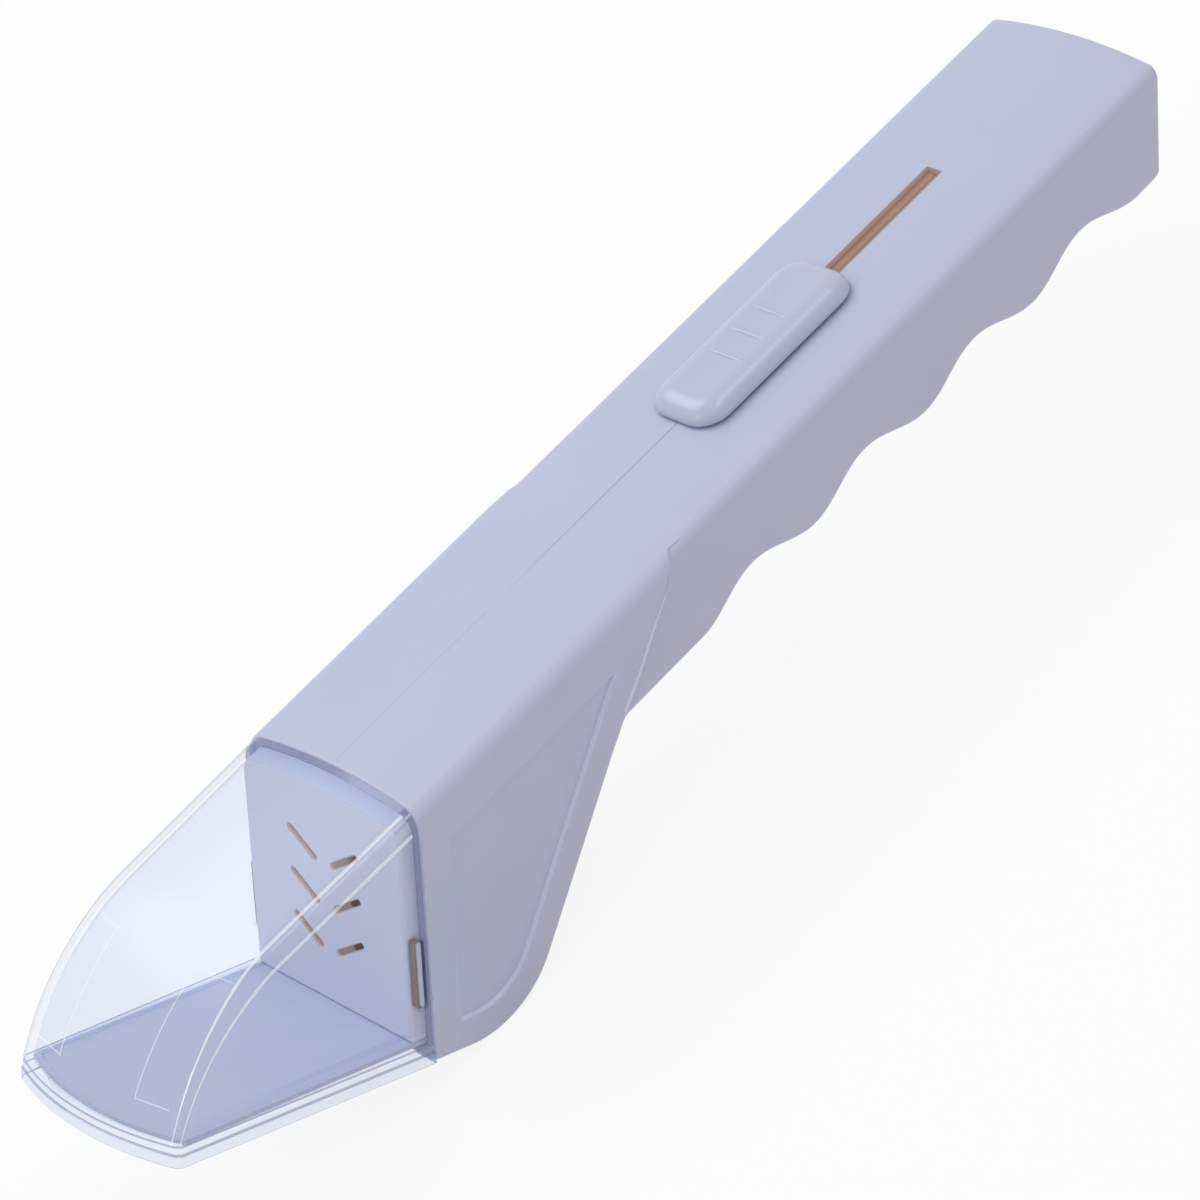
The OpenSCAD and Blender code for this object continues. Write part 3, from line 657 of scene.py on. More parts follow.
def gripHollow():
    wall, roof = shell["wall"], -0.4 * body["crown"]
    lean = math.radians(body["tailLean"])
    outline = [(-body["handleLen"] + (wall - roof * math.sin(lean)) / math.cos(lean), roof)]
    corner = Vector((shell["tailCornerX"], shell["tailFootRound"] + shell["gripFoot"]))
    for a in steps(180 + body["tailLean"], 270, 6):
        outline.append(tuple(corner + (shell["tailFootRound"] - wall) * tilt(a)))
    high = shell["crest"] - shell["grooves"] * shell["pitch"]
    for x in steps(high, shell["crest"], 64):
        outline.append((x, shell["gripFoot"] + wall + gripWave(x)))
    return outline + [(shell["hollowEnd"], shell["gripFoot"] + wall), (shell["hollowEnd"], roof)]


# The slot's mouth widens over the last tenths of a millimetre, given as (height, how far out)
slotCut = {
    "back": -149.43, "front": -84.53, "half": 1.7,
    "mouth": ((-5, 0), (1.86, 0), (1.96, 0.04), (2.03, 0.12), (2.12, 0.4), (3, 1.5)),
}


def slotTool():
    loops = []
    for z, grow in slotCut["mouth"]:
        back, front = slotCut["back"] - grow, slotCut["front"] + grow
        half = slotCut["half"] + grow
        loops.append([(back, -half, z), (front, -half, z), (front, half, z), (back, half, z)])
    return stackLoops("slot tool", loops)


# The sunk panel on each side of the head. Its bevel is given as (depth, how far out).
panel = {
    "inset": 5.6, "drop": 1.9, "pale": 0.6,
    "bevel": ((-0.5, 0.5), (0.0, 0.0), (0.06, -0.07), (0.58, -0.38), (0.68, -0.52)),
}


def panelTool(side):
    loops = []
    for deep, grow in panel["bevel"]:
        inset = panel["inset"] - grow
        outline = headOutline(inset, -inset - panel["drop"], -inset)
        loops.append([(x, side * (shell["headHalf"] - deep), z) for x, z in outline])
    tool = stackLoops("panel tool", loops)
    tool.data.materials.append(shellAbs)
    for face in tool.data.polygons:
        deep = shell["headHalf"] - abs(face.center.y) * 1000
        # painted highlight: the bevel's faces down to the pale depth take the lighter ABS
        face.material_index = int(-0.01 < deep < panel["pale"])
    return tool


# Seats of the shell screws, as (x, z, distance of the side from the middle)
screwPlaces = [
    (-88.55, -14.26, shell["gripHalf"]), (-145.15, -14.26, shell["gripHalf"]),
    (-173.45, -14.26, shell["gripHalf"]),
    (-2.049, -25.753, shell["headHalf"]), (-33.05, -9.15, shell["headHalf"]),
]


def seatTool(x, z, half):
    loops = []
    for deep, radius in ((-1, 2.6), (0, 2.45), (0.2, 2.25), (4.2, 2.25)):
        loops.append([(x + radius * math.cos(a), -half + deep, z + radius * math.sin(a))
                      for a in steps(0, 2 * math.pi, 32)[:-1]])
    return stackLoops("seat tool", loops)


for side, name in ((1, "left_half"), (-1, "right_half")):
    half = halfShell(name, side)
    print(name, "ringed", len(half.data.polygons), "faces")
    half.data.materials.append(shellAbs)
    half.data.materials.append(paintedHighlightAbs)
    for face in half.data.polygons:
        # only the bead stands out past the side, and it is painted lighter as a highlight
        face.material_index = int(abs(face.center.y) * 1000 > shell["headHalf"] + 0.09)
    # the hollows and the slot take the inside ABS with its painted shade and glow
    wall = shell["wall"]
    for outline, outer in ((headOutline(wall, -1.2 * body["crown"], 1.0), shell["headHalf"]),
                           (gripHollow(), shell["gripHalf"])):
        inner = side * (outer - wall)
        hollow = sidePrism("hollow", outline, min(-side, inner), max(-side, inner))
        carve(half, hollow, finish=shellInsidePaintedShadeAndGlow)
    carve(half, slotTool(), finish=shellInsidePaintedShadeAndGlow)
    carve(half, panelTool(side), finish=paintedHighlightAbs)
    if side < 0:
        for x, z, sideY in screwPlaces:
            carve(half, seatTool(x, z, sideY))
    softShade(half)
    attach(half, "grip")
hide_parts("left_shell")
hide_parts("right_shell")
print("shells carved")

# Clear hood: one thin-walled skin from the joint over the top and the bowed front to the rim,
# with a grooved rail along its foot that carries the door
hood = {
    "half": 20.15, "noseHalf": 19.1, "noseCorner": 50.3, "edge": 3.6, "noseEdge": 1.5, "wall": 1.5,
    "frontR": 46.0, "frontTurn": 82.0, "front": (26.6, -45.55), "kneeSoft": 3.2,
    "bowR": 51.15, "floorLen": 54.0, "cornerSoft": (0.6, 0.25), "rimOut": 0.6, "rimHigh": 3.7,
    "gap": 0.15, "openHalf": 15.9, "grooveHalf": 18.75, "lipHalf": 16.6,
    "openIn": 2.9, "grooveIn": 1.5, "lipIn": 2.3,
    "grooveFoot": 2.85, "grooveTop": 4.1, "lipTop": 5.03,
}
hoodFront = Vector(hood["front"])
frontLift = (hoodFront - jointFoot).dot(floorUp)


def hoodHalf(along):
    return hood["half"] + (hood["noseHalf"] - hood["half"]) * along / hood["noseCorner"]


def hoodSection(half, edge, inset):
    # from one ridge over the crown to the other, as (y, height over the shoulder level)
    edge = max(edge - inset, 0.25)
    half = half - inset
    cy = half - edge
    crownR = body["crownR"] - inset
    cz = body["crown"] - body["crownR"] + math.sqrt((crownR - edge) ** 2 - cy * cy)
    lean = math.asin(cy / (crownR - edge))
    right = [(cy + edge * math.cos(a), cz + edge * math.sin(a))
             for a in steps(0, math.pi / 2 - lean, 9)]
    right += [(crownR * math.sin(a), body["crown"] - body["crownR"] + crownR * math.cos(a))
              for a in steps(lean, 0, 12)[1:]]
    return right + [(-y, e) for y, e in reversed(right[:-1])]


hoodLine = [("top", t) for t in (0, 0.04, 0.1, 0.2, 0.35, 0.5, 0.65, 0.8)]
hoodLine += [("knee", t) for t in steps(0, 1, 8)] + [("front", t) for t in steps(0, 1, 34)[1:]]


def hoodPoint(kind, t, level, foot):
    # a point of the side outline, level over the shoulder line, or that far out on the front
    startX = (hood["gap"] - level * jointAhead.y) / jointAhead.x
    radius = hood["frontR"] + level
    kneeX = hoodFront.x + radius * math.cos(math.radians(hood["frontTurn"]))
    before = Vector((kneeX - hood["kneeSoft"], level))
    corner = Vector((kneeX, level))
    kneeTurn = hood["frontTurn"] - math.degrees(hood["kneeSoft"] / radius)
    after = hoodFront + radius * tilt(kneeTurn)
    if kind == "top":
        return Vector((startX + (before.x - startX) * t, level))
    if kind == "knee":
        return before * (1 - t) ** 2 + corner * 2 * t * (1 - t) + after * t * t
    endTurn = body["floorTilt"] + math.degrees(math.asin((foot - frontLift) / radius))
    return hoodFront + radius * tilt(kneeTurn + (endTurn - kneeTurn) * t)


def hoodSkin(inset, foot):
    # rows from the joint to the foot of the front, each from ridge to ridge
    rows = []
    for i, (kind, t) in enumerate(hoodLine):
        share = i / (len(hoodLine) - 1)
        edge = hood["edge"] + (hood["noseEdge"] - hood["edge"]) * ease(0.1, 1.0, share)
        guess = hoodPoint(kind, t, -2.0, foot)
        half = hoodHalf(floorAlong(*guess))
        row = []
        for y, level in hoodSection(half, edge, inset):
            spot = hoodPoint(kind, t, level, foot)
            row.append(Vector((spot.x, y, spot.y)))
        rows.append(row)
    return rows


def hoodShell():
    # marks number the materials: 0 clear, 1 seen on edge, 2 rim band, 3 painted highlight line, 4
    # ridge
    outer, inner = hoodSkin(0, hood["rimHigh"]), hoodSkin(hood["wall"], hood["lipTop"])
    points, faces, marks = [], [], []

    def grid(rows, mark):
        base, wide = len(points), len(rows[0])
        for row in rows:
            points.extend(tuple(p) for p in row)
        for r in range(len(rows) - 1):
            for c in range(wide - 1):
                a = base + r * wide + c
                faces.append((a, a + 1, a + wide + 1, a + wide))
                marks.append(mark(r, c))

    # painted highlight: two columns on the rounding of each ridge are painted as pale lines
    columns = len(outer[0]) - 1

    def ridgeMark(r, c):
        c = min(c, columns - 1 - c)
        if r < 1:
            return 1
        return 3 if c in (1, 7) else 4 if c < 8 else 0

    grid(outer, ridgeMark)
    grid(inner, lambda r, c: 0)

    # the two flat sides hang from the ridges to the rim band
    feet = {}
    for skin, foot, inset in ((outer, hood["rimHigh"], 0), (inner, hood["lipTop"], hood["wall"])):
        for side, column in ((1, 0), (-1, columns)):
            ridge = [row[column] for row in skin]
            startAlong = alongAtJoint(hood["gap"], foot)
            endAlong = floorAlong(ridge[-1].x, ridge[-1].z)
            rows = []
            for i, top in enumerate(ridge):
                share = i / (len(ridge) - 1)
                low = overFloor(startAlong + (endAlong - startAlong) * share, foot)
                row = [top]
                for t in steps(0, 1, 12)[1:]:
                    x, z = top.x + (low.x - top.x) * t, top.z + (low.y - top.z) * t
                    row.append(Vector((x, side * (hoodHalf(floorAlong(x, z)) - inset), z)))
                rows.append(row)
            edge = 0 if inset else 1
            grid(rows, lambda r, c: edge if r < 1 else 0)
            feet[inset > 0, side] = [row[-1] for row in rows]
    # the foot of each skin as one line: left side from the joint, nose, right side to the joint
    outerFoot = feet[False, 1] + outer[-1][1:-1] + feet[False, -1][::-1]
    innerFoot = feet[True, 1] + inner[-1][1:-1] + feet[True, -1][::-1]
    count, sides = len(outerFoot), len(feet[False, 1])

    def plan(offset, high, half=None):
        # the rim's plan line, moved out by offset or held at a half width, that high over the rim
        reach = hood["bowR"] + offset
        middle = hood["floorLen"] - hood["bowR"]
        noseHalf = half if half else hood["noseHalf"] + offset
        corner = middle + math.sqrt(reach ** 2 - noseHalf ** 2)
        start = alongAtJoint(hood["gap"], high)
        softLong, softWide = hood["cornerSoft"]
        line = []
        for i in range(sides):
            along = start + (corner - softLong - start) * i / (sides - 1)
            line.append((along, half if half else hoodHalf(along) + offset))
        nose = count - 2 * sides
        for i in range(nose):
            y = (noseHalf - softWide) * (1 - 2 * (i + 0.5) / nose)
            line.append((middle + math.sqrt(reach ** 2 - y * y), y))
        line += [(along, -y) for along, y in reversed(line[:sides])]
        return [(overFloor(along, high).x, y, overFloor(along, high).y) for along, y in line]

    # rim band with its two tiers, then the groove that the door runs in and the lip over it
    out, high = hood["rimOut"], hood["rimHigh"]
    rimLines = [
        (out * 0.3, high), (out * 0.5, high - 0.32), (out * 0.5, high * 0.64),
        (out * 0.62, high * 0.57), (out * 0.9, high * 0.53), (out, high * 0.48), (out, 0.25),
        (out - 0.2, 0), (-hood["openIn"], 0, hood["openHalf"]),
        (-hood["openIn"], hood["grooveFoot"], hood["openHalf"]),
        (-hood["grooveIn"], hood["grooveFoot"], hood["grooveHalf"]),
        (-hood["grooveIn"], hood["grooveTop"], hood["grooveHalf"]),
        (-hood["lipIn"], hood["grooveTop"] + 0.05, hood["lipHalf"]),
        (-hood["lipIn"], hood["lipTop"] - 0.2, hood["lipHalf"]),
    ]
    grid([outerFoot] + [plan(*spot) for spot in rimLines] + [innerFoot],
         lambda r, c: 1 if r in (1, 3, 4, 7) else 2 if r < 8 else 0)
    return points, faces, marks


def buildHood():
    points, faces, marks = hoodShell()
    mesh = bmesh.new()
    made = [mesh.verts.new(toRow(*p)) for p in points]
    for face, mark in zip(faces, marks):
        mesh.faces.new([made[i] for i in face]).material_index = mark
    bmesh.ops.remove_doubles(mesh, verts=mesh.verts, dist=1.2e-5)
    bmesh.ops.dissolve_degenerate(mesh, edges=mesh.edges, dist=2e-6)
    # the joint end is still open between the two skins
    openEdges = [e for e in mesh.edges if len(e.link_faces) == 1]
    caps = bmesh.ops.holes_fill(mesh, edges=openEdges, sides=0)["faces"]
    for face in caps:
        face.material_index = 1
    print("hood: open edges", len(openEdges), "caps", len(caps),
          "left open", sum(len(e.link_faces) != 2 for e in mesh.edges))
    bmesh.ops.recalc_face_normals(mesh, faces=mesh.faces)
    piece = settle("clear_hood_skin", mesh)
    for material in (hoodClear, hoodEdge, hoodRim, hoodRidgeHighlight, hoodFillet):
        piece.data.materials.append(material)
    return piece


# A long rounded window in each side, down along the joint. The catch's leaf fills it from behind
# and its pale nose stands in the middle. Depths are (distance from the middle plane, how far out).
catches = {
    "ahead": 1.6, "down": 27.2,
    "window": {"straight": 5.6, "wide": 1.0, "tall": 0.8, "span": (12, 24)},
    "straight": 5.3, "leaf": 0.85, "leafDepths": ((18.75, 0), (19.35, 0), (19.45, -0.08)),
    "nose": 0.46, "noseBack": 0.26,
    "noseDepths": ((19.3, 0), (19.6, 0), (19.72, -0.08), (19.76, -0.2)),
}


def windowLoop(y, straight, wide, tall, shift=0.0):
    loop = []
    for centre, start in ((straight, 0), (-straight, 180)):
        for a in steps(start, start + 180, 8):
            ahead = catches["ahead"] + shift + wide * math.cos(math.radians(a))
            down = catches["down"] - centre - tall * math.sin(math.radians(a))
            spot = jointAhead * ahead + jointDown * down
            loop.append((spot.x, y, spot.y))
    return loop


def windowTool(side):
    window = catches["window"]
    return stackLoops("window tool", [
        windowLoop(side * y, window["straight"], window["wide"], window["tall"])
        for y in window["span"]])


# Hairline outline moulded in each half of the front: out to the ridge, along it and out again,
# as runs between places (along, across)
fineLines = {
    "wide": 0.34, "over": 0.25, "deep": 0.14,
    "runs": (((38.3, 16.6), (39.62, 9.25)), ((39.4, 9.4), (58.4, 9.2)),
             ((58.25, 9.05), (57.2, 16.2))),
}


def outlineTool(side, start, end):
    spots = []
    for t in steps(0, 1, 12):
        x, y = Vector(start).lerp(Vector(end), t)
        level = body["crown"] - body["crownR"] + math.sqrt(body["crownR"] ** 2 - y * y)
        radius = hood["frontR"] + level
        high = math.sqrt(radius ** 2 - (x - hoodFront.x) ** 2)
        out = Vector((x - hoodFront.x, side * y / body["crownR"] * radius, high)).normalized()
        spots.append((Vector((x, side * y, hoodFront.y + high)), out))
    wide, over, deep = fineLines["wide"], fineLines["over"], fineLines["deep"]
    loops = []
    for i, (spot, out) in enumerate(spots):
        before, after = spots[max(i - 1, 0)][0], spots[min(i + 1, len(spots) - 1)][0]
        across = (after - before).normalized().cross(out).normalized()
        loops.append([tuple(spot + across * w + out * h)
                      for w, h in ((-wide, over), (wide, over), (0, -deep))])
    return stackLoops("outline tool", loops)


hoodPiece = buildHood()
for side in (1, -1):
    carve(hoodPiece, windowTool(side))
    for start, end in fineLines["runs"]:
        # the hairline outline's faces take the painted ridge highlight
        carve(hoodPiece, outlineTool(side, start, end), finish=hoodRidgeHighlight)
softShade(hoodPiece, 28)
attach(hoodPiece, "grip")
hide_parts("clear_hood")
print("hood made")


def catchPart(name, side, half, depths, shift=0.0):
    return stackLoops(name, [
        windowLoop(side * y, catches["straight"], half + grow, half + grow, shift)
        for y, grow in depths])


for side, name in ((1, "left"), (-1, "right")):
    leaf = catchPart("catch_leaf_" + name, side, catches["leaf"], catches["leafDepths"])
    nose = catchPart("catch_nose_" + name, side, catches["nose"], catches["noseDepths"],
                     -catches["noseBack"])
    # the catch leaves take the acetal painted darker as shade
    for piece, material, slot in ((leaf, catchAcetalPaintedShade, "guide"), (nose, shellAbs, "shell")):
        softShade(piece)
        piece.data.materials.append(material)
        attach(piece, "grip")
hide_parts("hood_catches")
print("catches made")

# Back wall of the chamber: a plate with a softened edge, and slanted vents with softened mouths.
# Edge and vent depths are (distance behind the front, how far in or out).
backWall = {
    "rear": -0.75, "front": 3.1, "clear": 1.52, "foot": 3.86,
    "edge": ((0.55, 0), (0.25, 0.05), (0.1, 0.16), (0, 0.38)),
    "vent": 1.0, "ventLen": 7.5, "ventTurn": 32, "ventSide": 5.0, "rows": (0.28, 0.46, 0.64),
    "mouth": ((4.8, 1.1), (0.75, 0.5), (0.55, 0), (0.25, 0), (0.12, 0.07), (0, 0.22), (-0.3, 0.7)),
}


def ventTool(side, row):
    turn = math.radians(side * backWall["ventTurn"])
    straight = backWall["ventLen"] / 2 - backWall["vent"] / 2
    loops = []
    for back, grow in backWall["mouth"]:
        half = backWall["vent"] / 2 + grow
        loop = []
        for centre, span in ((straight, (-90, 90)), (-straight, (90, 270))):
            for a in steps(*span, 7):
                spot = Vector((centre, 0)) + half * tilt(a)
                y = spot.x * math.cos(turn) - spot.y * math.sin(turn)
                rise = spot.x * math.sin(turn) + spot.y * math.cos(turn)
                place = jointAhead * (backWall["front"] - back)
                place += jointDown * (row * body["jointLen"] - rise)
                loop.append((place.x, side * backWall["ventSide"] + y, place.y))
        loops.append(loop)
    return stackLoops("vent tool", loops)


def buildBackWall():
    loops = []
    front = backWall["front"]
    edges = [(front - back, inset) for back, inset in backWall["edge"]]
    for ahead, inset in [(backWall["rear"], 0.1)] + edges:
        loop = []
        for y, level in hoodSection(hoodHalf(4), hood["edge"], backWall["clear"] + inset):
            loop.append(((ahead - level * jointAhead.y) / jointAhead.x, y, level))
        half = abs(loop[0][1])
        high = backWall["foot"] + inset
        foot = overFloor(alongAtJoint(ahead, high), high)
        loops.append(loop + [(foot.x, -half, foot.y), (foot.x, half, foot.y)])
    wall = stackLoops("back_wall_plate", loops)
    # painted shade: the up-facing top edge keeps the darker shell colour, below the wall's lighter
    # paint
    wall.data.materials.append(wallAbsPaintedLighter)
    wall.data.materials.append(shellAbs)
    for face in wall.data.polygons:
        face.material_index = int(face.normal.z > 0.7)
    # the vents' walls take the inside ABS with its painted shade and glow
    for side in (1, -1):
        for row in backWall["rows"]:
            carve(wall, ventTool(side, row), finish=shellInsidePaintedShadeAndGlow)
    return wall


wallPiece = buildBackWall()
softShade(wallPiece, 40)
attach(wallPiece, "grip")
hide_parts("chamber_back_wall")
print("back wall made")

# Thumb button: rounded rim, shallow dish, three low bars and the stem through the slot
button = {
    "back": -121.9, "front": -83.4, "half": 7.75, "corner": 5.17, "foot": 2.3, "high": 2.9,
    "dish": 0.12, "barPitch": 5.6, "barLen": 7.8, "barWide": 0.7,
    # the bars' rounding and the button's own, as (inset, height)
    "bar": ((0, -0.6), (0, 0.06), (0.07, 0.13), (0.17, 0.18), (0.3, 0.2)),
    "side": ((0.3, 0), (0.1, 0.06), (0, 0.2), (0.02, 0.5), (0.16, 0.92), (0.46, 1.4), (0.9, 1.84),
             (1.45, 2.22), (2.05, 2.52), (2.7, 2.74), (3.4, 2.86), (4.1, 2.9)),
    "stem": (-97.1, -84.83, 1.4), "stemSpan": (-1.1, 3.0),
}
buttonMid = (button["back"] + button["front"]) / 2


def roundLoop(midX, halfLen, halfWide, corner, z, count=10):
    # a rounded rectangle, with a few points on each straight run too
    signs = ((1, 1), (-1, 1), (-1, -1), (1, -1))
    loop = []
    for quarter in range(4):
        (fromX, fromY), (nextX, nextY) = signs[quarter], signs[(quarter + 1) % 4]
        centre = Vector(((halfLen - corner) * fromX, (halfWide - corner) * fromY))
        nextCentre = Vector(((halfLen - corner) * nextX, (halfWide - corner) * nextY))
        for a in steps(quarter * 90, quarter * 90 + 90, count):
            spot = centre + corner * tilt(a)
            loop.append((midX + spot.x, spot.y, z))
        out = corner * tilt(quarter * 90 + 90)
        for share in (0.25, 0.5, 0.75):
            spot = (centre + out).lerp(nextCentre + out, share)
            loop.append((midX + spot.x, spot.y, z))
    return loop


def buildButton():
    halfLen, halfWide = (button["front"] - button["back"]) / 2, button["half"]
    foot, corner, flat = button["foot"], button["corner"], button["side"][-1][0]
    loops = []
    for inset, lift in button["side"]:
        loops.append(roundLoop(buttonMid, halfLen - inset, halfWide - inset,
                               max(0.6, corner - inset), foot + lift))
    # the dished top closes in on its middle line
    for share in steps(0, 1, 14)[1:]:
        inset = flat + (halfWide - flat - 0.05) * share
        lift = button["high"] - 0.01 - (button["dish"] - 0.01) * ease(0, 0.7, share)
        round_ = max(0.03, min(corner - inset, halfWide - inset))
        loops.append(roundLoop(buttonMid, halfLen - inset, max(0.04, halfWide - inset), round_,
                               foot + lift))
    return stackLoops("thumb_button_skin", loops)


buttonPiece = buildButton()
stemBack, stemFront, stemHalf = button["stem"]
stemPlan = ((stemBack, -stemHalf), (stemFront, -stemHalf),
            (stemFront, stemHalf), (stemBack, stemHalf))
stem = stackLoops("stem", [[(x, y, z) for x, y in stemPlan] for z in button["stemSpan"]])
carve(buttonPiece, stem, "UNION")
for i in (-1, 0, 1):
    barX = buttonMid + i * button["barPitch"]
    level = button["foot"] + button["high"] - button["dish"]
    wide, long = button["barWide"] / 2, button["barLen"] / 2
    loops = [roundLoop(barX, wide - inset, long - inset, wide - inset - 0.02, level + lift, 4)
             for inset, lift in button["bar"]]
    carve(buttonPiece, stackLoops("bar", loops), "UNION")
softShade(buttonPiece, 40)
buttonPiece.data.materials.append(buttonAbs)
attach(buttonPiece, "thumb_slide")
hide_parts("thumb_button")
print("button made")

# The track's two soft lips close the slot a little way down, with a hairline gap between them
# painted shade: the lips are a tan sheet put in the slot for the warm shade seen there
lips = {
    "back": -149.3, "front": -84.66, "half": 1.62, "gap": 0.03, "wall": 1.1, "middle": 0.92,
    "thick": 0.35,
}


def buildSlotShadeLip(side):
    half, wall, middle = lips["half"], lips["wall"], lips["middle"]
    gap, thick = lips["gap"], lips["thick"]
    loops = []
    for share in steps(0, 1, 60):
        x = lips["back"] + (lips["front"] - lips["back"]) * share
        ripple = 0.03 * math.sin(share * 37) + 0.02 * math.sin(share * 91)
        top = [(half, wall), (1.2, wall - 0.04), (0.7, middle + 0.08 + ripple / 2),
               (gap + 0.12, middle + ripple), (gap, middle - 0.1 + ripple)]
        low = [(gap, middle - thick + 0.1), (0.7, middle - thick), (half, wall - thick - 0.2)]
        loops.append([(x, side * y, z) for y, z in top + low])
    return stackLoops("slot_shade_lip_left" if side > 0 else "slot_shade_lip_right", loops)


for side in (1, -1):
    lip = buildSlotShadeLip(side)
    softShade(lip, 40)
    lip.data.materials.append(guideAcetal)
    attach(lip, "grip")
print("lips made")

# Sheet door: it bends round the heel as it opens, so it shrinks back to the mouth of the head
door = {
    "half": 18.5, "inset": 1.8, "tuck": 4.0, "foot": 3.0, "thick": 0.8, "mouth": -1.0, "keep": 0.05,
}


def buildDoor():
    reach = hood["bowR"] - door["inset"]
    middle = hood["floorLen"] - hood["bowR"]
    rows = []
    for across in steps(-1, 1, 40):
        y = door["half"] * across
        end = middle + math.sqrt(reach ** 2 - y * y)
        rows.append([(along, y) for along in steps(-door["tuck"], end, 44)])
    points, faces = [], []
    for high in (door["foot"], door["foot"] + door["thick"]):
        for row in rows:
            for along, y in row:
                spot = overFloor(along, high)
                points.append((spot.x, y, spot.y))
    wide, deep = len(rows[0]), len(rows)
    half = wide * deep
    for r in range(deep - 1):
        for c in range(wide - 1):
            a = r * wide + c
            faces.append((a, a + 1, a + wide + 1, a + wide))
            faces.append((half + a, half + a + wide, half + a + wide + 1, half + a + 1))
    # once round the edge: first row, far ends, last row backwards, near ends
    rim = [c for c in range(wide)]
    rim += [r * wide + wide - 1 for r in range(1, deep)]
    rim += [(deep - 1) * wide + c for c in range(wide - 2, -1, -1)]
    rim += [r * wide for r in range(deep - 2, 0, -1)]
    for a, b in zip(rim, rim[1:] + rim[:1]):
        faces.append((a, b, half + b, half + a))
    return newPiece("door_sheet", points, faces)


doorPiece = buildDoor()
softShade(doorPiece, 40)
doorPiece.data.materials.append(doorSheet)
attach(doorPiece, "grip")
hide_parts("trap_door")
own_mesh(doorPiece)
print("door made")

# Finishes of the pieces whose CAD shape is right
finishes = {
    "ribbon_bend": doorSheet, "ribbon_tail": doorSheet,
    "heel_guide": guideAcetal, "outer_guide": guideAcetal, "slide_track": guideAcetal,
    "slider_carriage": carriageAbs, "clamp_rivets": rivetBrass, "detent_spring": springSteel,
    "track_screws": zincSteel, "ribbon_clamp": zincSteel, "button_screw": zincSteel,
    "shell_screws": zincSteel,
}
for name, material in finishes.items():
    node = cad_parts[name]
    if not node.material_slots:
        node.data.materials.append(material)
    for holder in node.material_slots:
        holder.material = material
print("finishes set")


def evenWhite(tree):
    # one for what the eye, mirrors and clear plastic see, and none for light that falls on things
    seen = add(tree, "ShaderNodeLightPath")
    first = add(tree, "ShaderNodeMath", None,
                {0: seen.outputs["Is Camera Ray"], 1: seen.outputs["Is Glossy Ray"]},
                operation="MAXIMUM")
    second = add(tree, "ShaderNodeMath", None,
                 {0: first.outputs[0], 1: seen.outputs["Is Transmission Ray"]},
                 operation="MAXIMUM")
    return second.outputs[0]


# Floor: pale and plain. Most of it is seen as even white, and the rest of its light is real, so
# the shadow stays.
stage = {"reach": 6.0, "cells": 12, "shadow": 0.13, "floor": "#f8f8f9"}


def buildFloor():
    mesh = bmesh.new()
    marks = steps(-stage["reach"], stage["reach"], stage["cells"])
    rows = [[mesh.verts.new((x, y, 0)) for x in marks] for y in marks]
    for low, high in zip(rows, rows[1:]):
        for c in range(stage["cells"]):
            mesh.faces.new((low[c], low[c + 1], high[c + 1], high[c]))
    floor = settle("floor", mesh)
    made, tree, _ = newMaterial("studio floor")
    share = add(tree, "ShaderNodeMath", {1: 1 - stage["shadow"]}, {0: evenWhite(tree)},
                operation="MULTIPLY")
    matt = add(tree, "ShaderNodeBsdfDiffuse", {"Color": linear(stage["floor"])})
    glow = add(tree, "ShaderNodeEmission", {"Color": (1, 1, 1, 1), "Strength": 1.0})
    both = add(tree, "ShaderNodeMixShader",
               links={0: share.outputs[0], 1: matt.outputs[0], 2: glow.outputs[0]})
    finishWith(tree, both.outputs[0])
    floor.data.materials.append(made)


buildFloor()
print("floor made")

# Light: an even, slightly warm room, one wide soft lamp over the far side of the grip, a small lamp
# ahead that lights the edges facing forwards and up, and a narrow strip overhead that draws the
# bright lines on the ridges of the hood
room = {"strength": 0.58, "colour": (1.0, 0.945, 0.885, 1)}
lampColour = (0.78, 0.92, 1.0)
lamps = {
    "soft lamp": {"power": 6.1, "size": (0.9,), "colour": lampColour, "at": (0.0, -0.75, 1.15)},
    "edge lamp": {"power": 1.4, "size": (0.3,), "colour": lampColour, "at": (1.0, -0.12, 0.9)},
    "strip lamp": {"power": 1.6, "size": (0.7, 0.1), "colour": (1, 1, 1), "at": (-0.42, 0.3, 1.15)},
}
lampAim = Vector((0, 0, 0.03))

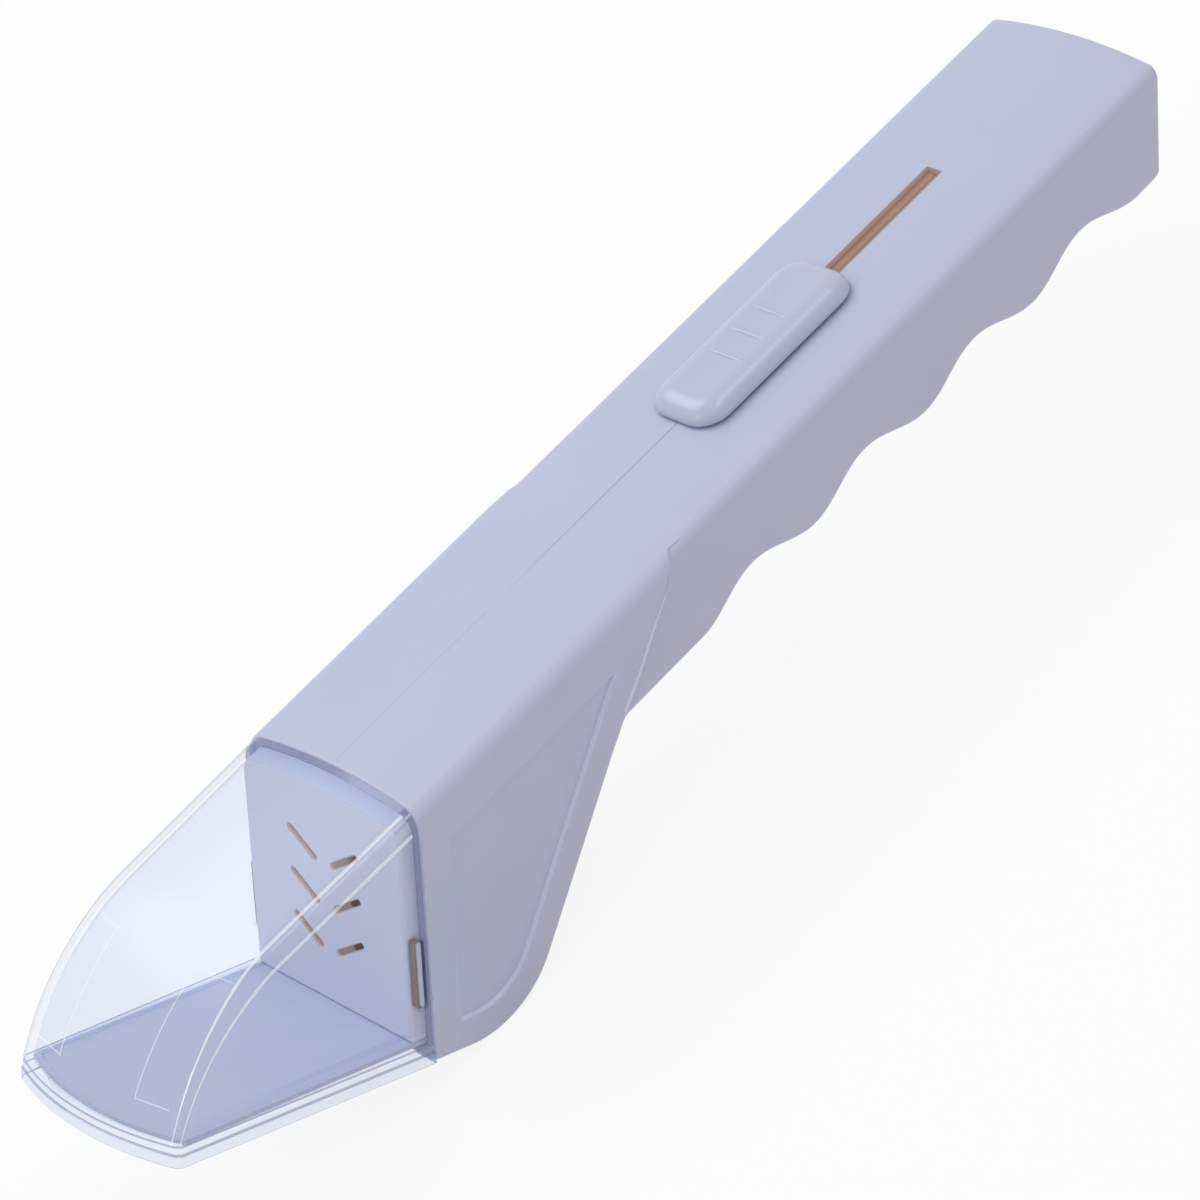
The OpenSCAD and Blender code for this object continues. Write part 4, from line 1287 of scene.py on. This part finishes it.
world = bpy.data.worlds.new("studio")
bpy.context.scene.world = world
world.use_nodes = True
tree = world.node_tree
tree.nodes.clear()
white = evenWhite(tree)
level = add(tree, "ShaderNodeMapRange", {"To Min": room["strength"], "To Max": 1.0},
            {"Value": white})
hue = add(tree, "ShaderNodeMix", {6: room["colour"], 7: (1, 1, 1, 1)}, {0: white},
          data_type="RGBA")
glow = add(tree, "ShaderNodeBackground", None,
           {"Color": hue.outputs[2], "Strength": level.outputs[0]})
add(tree, "ShaderNodeOutputWorld", links={"Surface": glow.outputs[0]})

for name, look in lamps.items():
    data = bpy.data.lights.new(name, "AREA")
    data.shape = "DISK" if len(look["size"]) == 1 else "RECTANGLE"
    data.energy, data.color, data.size = look["power"], look["colour"], look["size"][0]
    if data.shape == "RECTANGLE":
        data.size_y = look["size"][1]
    lamp = bpy.data.objects.new(name, data)
    lamp.location = look["at"]
    lamp.rotation_mode = "QUATERNION"
    lamp.rotation_quaternion = (lampAim - lamp.location).to_track_quat("-Z", "Y")
    bpy.context.scene.collection.objects.link(lamp)
print("light set")

# Camera: a long lens, fitted to the photograph's parallel edges. It stands ahead on the object's
# left, looks down on a spot of the floor and is rolled, so the grip runs up to the right.
outlook = {
    "sensor": 36, "lens": 150, "clip": (0.05, 20), "aim": (-0.01476, -0.03295, 0),
    "away": 0.85507, "turn": 60.133, "height": 39.917, "roll": -24.734,
}
camera = bpy.data.cameras.new("camera")
camera.sensor_width, camera.lens = outlook["sensor"], outlook["lens"]
camera.clip_start, camera.clip_end = outlook["clip"]
eye = bpy.data.objects.new("camera", camera)
aside, rise = tilt(outlook["turn"]), tilt(outlook["height"])
back = Vector((aside.x * rise.x, aside.y * rise.x, rise.y))
rolled = back.to_track_quat("Z", "Y") @ Quaternion((0, 0, 1), math.radians(outlook["roll"]))
place = Matrix.Translation(Vector(outlook["aim"]) + back * outlook["away"])
eye.matrix_world = place @ rolled.to_matrix().to_4x4()
bpy.context.scene.collection.objects.link(eye)
bpy.context.scene.camera = eye
bpy.context.scene.view_settings.view_transform = "Standard"

print("camera set")
